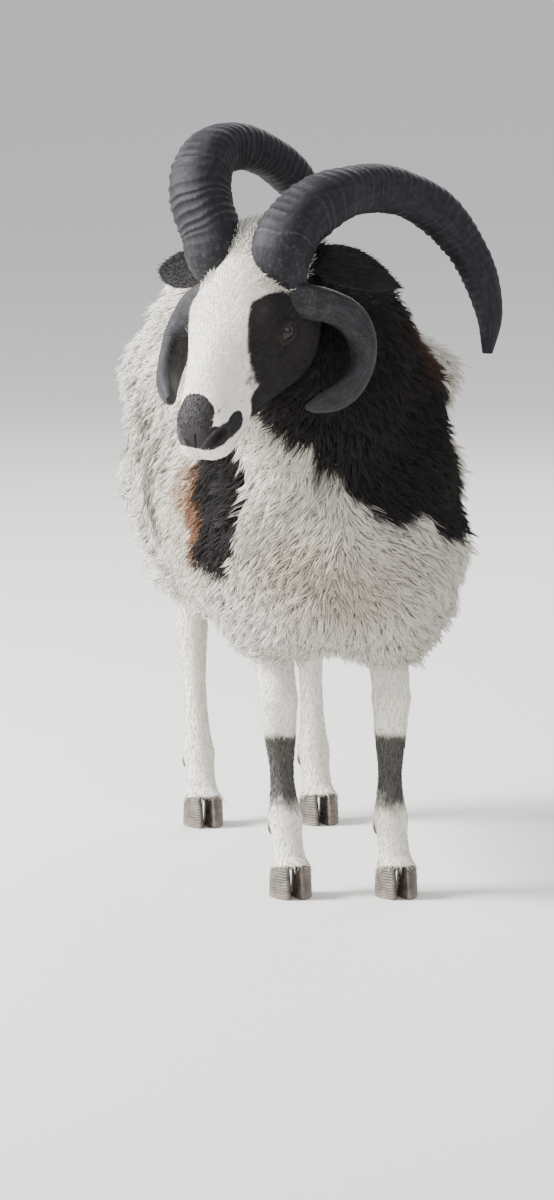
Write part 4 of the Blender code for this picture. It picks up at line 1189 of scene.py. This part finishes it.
def strand_piece(name, paths, normals, widths, flatness, uv, roots, ear, finish, numbers,
                 on_head):
    """Closed tapering strands of three sides along paths, joined as one mesh."""
    count, rings, _ = paths.shape
    along = unit(np.gradient(paths, axis=1))
    side = unit(np.cross(along, normals[:, None]))
    up = np.cross(side, along)
    turn = np.array([math.pi / 2, math.pi * 7 / 6, math.pi * 11 / 6])
    wide = widths[:, :-1, None]
    ring = paths[:, :-1, None] + side[:, :-1, None] * (wide * np.cos(turn))[..., None]
    ring = ring + up[:, :-1, None] * (wide * flatness * np.sin(turn))[..., None]
    per = (rings - 1) * 3 + 1
    points = np.concatenate([ring.reshape(count, -1, 3), paths[:, -1:]], axis=1)
    pattern = []
    for row in range(rings - 2):
        for k in range(3):
            a, b = row * 3 + k, row * 3 + (k + 1) % 3
            pattern += [(a, a + 3, b), (b, a + 3, b + 3)]
    tip = per - 1
    pattern += [(tip - 3 + k, tip, tip - 3 + (k + 1) % 3) for k in range(3)]
    pattern.append((0, 1, 2))
    faces = (np.arange(count)[:, None, None] * per + np.array(pattern)[None]).reshape(-1, 3)
    made = mesh_piece(name, points.reshape(-1, 3), faces, finish)
    t = np.r_[np.repeat(np.linspace(0, 1, rings)[:-1], 3), 1.0]
    keep(made, "root_place", "FLOAT_VECTOR", np.repeat(roots[:, None], per, 1))
    keep(made, "along", "FLOAT", np.tile(t, count))
    keep(made, "ear_part", "FLOAT", np.repeat(ear, per))
    keep(made, "own_tone", "FLOAT", np.repeat(numbers, per))
    keep(made, "head_part", "FLOAT", np.full(count * per, on_head))
    across = np.r_[np.tile(np.cos(turn), rings - 1), 0.0]
    fibre = np.stack([np.tile(across, count), np.tile(t * 0.22, count), np.repeat(numbers * 37.0, per)], 1)
    keep(made, "fibre", "FLOAT_VECTOR", fibre)
    around = np.r_[np.tile(np.array([0.0, 0.5, 1.0]), rings - 1), 0.5]
    patch_uv = np.stack([around - 0.5, t - 0.5], 1) * BAKE_PATCH
    point_uv = np.clip(uv[:, None] + patch_uv[None], 0.0, 1.0).reshape(-1, 2)
    layer = made.data.uv_layers.new(name="OFBake")
    layer.data.foreach_set("uv", point_uv[faces.ravel()].astype(np.float32).ravel())
    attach(made, "root")
    return made


def coat_finish(name, fibre_scale, fibre_rise, painted_root_shade, own_shade):
    """Hair or wool: the markings' colour, fine fibres along each strand, and painted shade at the root."""
    finish = Finish(name, roughness=0.85, specular_ior_level=0.25)
    along = finish.kept("along", 2)
    tint = coat_colour(finish, along)
    fibre = finish.noise(finish.kept("fibre"), fibre_scale, 2.0, 0.6)
    # Painted shade: each strand darkens towards its root, where the strands crowd; the fibre lines and own
    # tone are real
    tone_and_painted_shade = own_shade * (fibre + finish.kept("own_tone", 2)) + painted_root_shade * (1.0 - along)
    tint = finish.mix(tone_and_painted_shade.below(1.0), tint, finish.mix(0.62, tint, (0.0, 0.0, 0.0)))
    finish.feed("Base Color", tint)
    finish.bump(fibre, fibre_rise, 0.8)
    return finish


# The fourth number sets how dark the painted shade at the roots of the wool strands is
fleece_finish = coat_finish("fleece", 6.0, 0.0005, 0.13, 0.11)
trunk_part = len(shells) - 1
on_trunk = part_of_face == trunk_part
lock_place, lock_normal, _ = scatter(fleece_draw, on_trunk, LOCK_TRIES, LOCK_SPACE)
place, normal, uv = scatter(fleece_draw, on_trunk, STRAND_TRIES, STRAND_CELL)
kept = ~inside_head(place, 0.004)
place, normal, uv = place[kept], normal[kept], uv[kept]
# The wool stands closer, and is a little finer, on the neck and chest
fore_share = np.clip((-0.10 - place[:, 1]) / 0.15, 0, 1)
order = np.argsort(fleece_draw.random(len(place)) / (1.0 + 0.9 * fore_share))
chosen = np.sort(order[:STRANDS])
place, normal, uv, fore_share = place[chosen], normal[chosen], uv[chosen], fore_share[chosen]


def wool_length(points):
    """Length of the locks: longest on the flanks and chest, short at the head, cuffs and tail."""
    head_gap = np.linalg.norm(points - from_head([-0.02, 0, -0.06]), axis=1)
    length = WOOL_LENGTH + 0.003 * smooth_noise(points, 22.0, 3)
    length = length * np.clip(0.42 + (head_gap - 0.09) / 0.26, 0.42, 1.0)
    length = length * np.clip(0.60 + (points[:, 2] - 0.27) / 0.16, 0.60, 1.0)
    return np.where(points[:, 1] > 0.46, np.minimum(length, 0.022), length)


def lie(points, normals, seed):
    """The way the coat lies: down and back, parted along the spine, wandering a little."""
    away = np.stack([np.sign(points[:, 0]) * np.clip(np.abs(points[:, 0]) / 0.05, 0.2, 1.0) * 0.55,
                     np.full(len(points), 0.38), np.full(len(points), -0.75)], 1)
    for axis in range(3):
        away[:, axis] += 0.28 * smooth_noise(points, 30.0, seed + axis)
    away = away - normals * (away * normals).sum(1)[:, None]
    return unit(away)


tree = kdtree.KDTree(len(lock_place))
for k, spot in enumerate(lock_place):
    tree.insert(spot, k)
tree.balance()
owner = np.array([tree.find(spot)[1] for spot in place])
t = np.linspace(0, 1, STRAND_RINGS)


def lock_paths(points, normals, length, flow, lift):
    """Curves that leave the skin at a slant and bend over along the lie."""
    out = length[:, None] * (lift[:, None] * t * (1.0 - 0.45 * t))
    over = length[:, None] * (0.38 * t + 0.50 * t ** 2)
    return points[:, None] + normals[:, None] * out[..., None] + flow[:, None] * over[..., None]


lock_length = wool_length(lock_place) * fleece_draw.uniform(0.85, 1.15, len(lock_place))
lock_flow = unit(lie(lock_place, lock_normal, 11) + 0.25 * fleece_draw.normal(size=lock_place.shape))
lock_lift = fleece_draw.uniform(0.36, 0.62, len(lock_place))
lock_path = lock_paths(lock_place, lock_normal, lock_length, lock_flow, lock_lift)

length = wool_length(place) * fleece_draw.uniform(0.80, 1.08, len(place))
flow = 0.6 * lock_flow[owner] + 0.4 * lie(place, normal, 11)
flow = unit(flow + 0.10 * fleece_draw.normal(size=place.shape))
paths = lock_paths(place, normal, length, flow, lock_lift[owner])
pull = (0.55 * t ** 1.5)[None, :, None]
paths = paths + (lock_path[owner] - paths) * pull
side = unit(np.cross(flow, normal))
phase = fleece_draw.uniform(0, 6.28, len(place))[:, None]
waves = fleece_draw.uniform(0.6, 1.1, len(place))[:, None]
crimp = 0.0014 * np.sin(6.28 * waves * t + phase) * np.sin(np.pi * np.clip(t * 1.15, 0, 1)) ** 0.5
lift = 0.0008 * np.cos(6.28 * waves * t + phase) * t
paths = paths + side[:, None] * crimp[..., None] + normal[:, None] * lift[..., None]
paths[..., 2] = np.maximum(paths[..., 2], FLOOR_GAP)
profile = np.interp(t, (0, 0.25, 0.6, 0.85, 1.0), (1.0, 1.0, 0.85, 0.55, 0.1))
fineness = 0.00128 * np.clip(length / WOOL_LENGTH, 0.5, 1.0) * (1.0 - 0.14 * fore_share)
widths = profile[None] * (fineness * fleece_draw.uniform(0.75, 1.2, len(place)))[:, None]
for number, first in enumerate(range(0, len(place), STRANDS_A_PIECE)):
    part = slice(first, first + STRANDS_A_PIECE)
    strand_piece("fleece_%02d" % (number + 1), paths[part], normal[part], widths[part], 0.5, uv[part],
                 place[part], np.zeros(len(place[part])), fleece_finish,
                 fleece_draw.random(len(place[part])), 0.0)

# Short coat
# Fine hair that lies flat: up the face from the muzzle, out along the ears and down the legs. The
# crown between the horns has longer curly tufts, and the bases of the horns a rough fringe.
ROOT_DEPTH = 0.0004
# The fourth number sets how dark the painted shade at the roots of the short hairs is
hair_finish = coat_finish("short_hair", 4.0, 0.0003, 0.10, 0.10)
hair_draw = np.random.default_rng(23)


def hair_coat(name, faces_used, cell, length_of, width, flow_of, lift, on_head):
    """Short tapering hairs over some of the skin, one to each cell, kept off the bare skin."""
    area = doubled_areas(skin_faces[faces_used]).sum() / 2
    place, normal, uv = scatter(hair_draw, faces_used, int(2.2 * area / cell ** 2), cell)
    length = length_of(place)
    kept = length > 0
    place, normal, uv, length = place[kept], normal[kept], uv[kept], length[kept]
    length = length * hair_draw.uniform(0.7, 1.15, len(place))
    flow = flow_of(place) + 0.22 * hair_draw.normal(size=place.shape)
    flow = unit(flow - normal * (flow * normal).sum(1)[:, None])
    out = length * hair_draw.uniform(0.6, 1.4, len(place)) * lift
    middle = place + normal * (out * 0.8)[:, None] + flow * (length * 0.43)[:, None]
    tips = place + normal * out[:, None] + flow * length[:, None]
    roots = place - normal * ROOT_DEPTH
    paths = np.stack([roots, middle, tips], 1)
    paths[..., 2] = np.maximum(paths[..., 2], 0.0006)
    widths = width * np.array([1.0, 0.72, 0.0]) * hair_draw.uniform(0.75, 1.2, len(place))[:, None]
    strand_piece(name, paths, normal, widths, 0.55, uv, place, ear_share(place), hair_finish,
                 hair_draw.random(len(place)), on_head)


def face_length(points):
    """Hair length on the head: finest at the nose, none on bare skin, longer at the back."""
    local = to_head(points)
    length = 0.0042 + 0.0045 * np.clip((0.20 - local[:, 0]) / 0.20, 0, 1)
    length = length + 0.006 * np.clip((0.05 - local[:, 0]) / 0.06, 0, 1)
    length = length * (1.0 - 0.4 * np.clip((np.abs(local[:, 1]) - 0.062) / 0.01, 0, 1))
    bare = off_line(on_left(local), NOSTRIL_LINE) < 0.0075
    slit = np.abs(local[:, 2] - mouth_height(local[:, 0]))
    bare |= (slit < 0.0030) & (local[:, 0] > MOUTH_CORNER)
    from_tip = (on_left(local) - (0.246, 0.0, -0.020)) / (0.012, 0.014, 0.012)
    bare |= np.linalg.norm(from_tip, axis=1) < 1
    for side in (1, -1):
        out, _, _, middle = eye_axes(side)
        gap = points - middle
        bare |= (np.linalg.norm(gap, axis=1) < EYE_RADIUS + 0.0019) & (gap @ out > 0.0085)
    return np.where(bare, 0.0, length)


def face_flow(points):
    """Up and back over the face, then out along the ears."""
    local = to_head(points)
    left = local[:, 1:2]
    away = -FORWARD + 0.35 * LEFTWARD * np.sign(left) * np.clip(np.abs(left) / 0.03, 0, 1)
    away = away - 0.45 * UPWARD * np.clip((0.10 - local[:, :1]) / 0.1, 0, 1)
    on_ear = np.clip((np.abs(left) - 0.062) / 0.01, 0, 1) * (local[:, :1] < 0.05)
    outward = LEFTWARD * np.sign(left) - 0.3 * UPWARD
    return away * (1 - on_ear) + outward * on_ear


on_head_skin = part_of_face == 0
hair_coat("hair_head", on_head_skin, 0.0026, face_length, 0.00044, face_flow, 0.12, 1.0)
LEG_TOP = 0.30
trunk_tree = search_tree(*trunk_shell)


def leg_length(points):
    """Hair length on the legs: a fringe over the hooves, and wool where a leg leaves the fleece."""
    length = 0.0080 + 0.008 * np.exp(-((points[:, 2] - 0.040) / 0.010) ** 2)
    length = length + 0.010 * np.clip((points[:, 2] - LEG_TOP) / 0.04, 0, 1)
    for k in np.flatnonzero(points[:, 2] > LEG_TOP):
        spot, way, _, _ = trunk_tree.find_nearest(points[k].tolist())
        if (points[k] - spot) @ np.array(way) < 0.001:
            length[k] = 0.0
    return length


def leg_flow(points):
    """Down the leg and a little back."""
    return np.array([0.0, 0.05, -1.0]) + 0 * points


on_leg_skin = (part_of_face > 0) & (part_of_face < trunk_part)
hair_coat("hair_legs", on_leg_skin, 0.0037, leg_length, 0.00062, leg_flow, 0.10, 0.0)


def crown_length(points):
    """Curly tufts on the crown and behind the horns, and a fringe round the horns' bases."""
    local = to_head(points)
    crown = np.clip((0.030 - local[:, 0]) / 0.03, 0, 1) * (np.abs(local[:, 1]) < 0.075)
    fringe = np.exp(-((local[:, 0] - 0.046) / 0.012) ** 2) * (np.abs(local[:, 1]) > 0.028)
    fringe = fringe * (local[:, 2] > -0.045)
    length = 0.013 * crown + 0.009 * fringe
    on_ear = (np.abs(local[:, 1]) > 0.066) & (local[:, 2] < -0.03)
    return np.where((length > 0.004) & ~on_ear, length, 0.0)


def crown_flow(points):
    """As on the face, but tousled."""
    return face_flow(points) + 0.5 * hair_draw.normal(size=points.shape)


hair_coat("hair_crown", on_head_skin, 0.0030, crown_length, 0.00090, crown_flow, 0.50, 1.0)
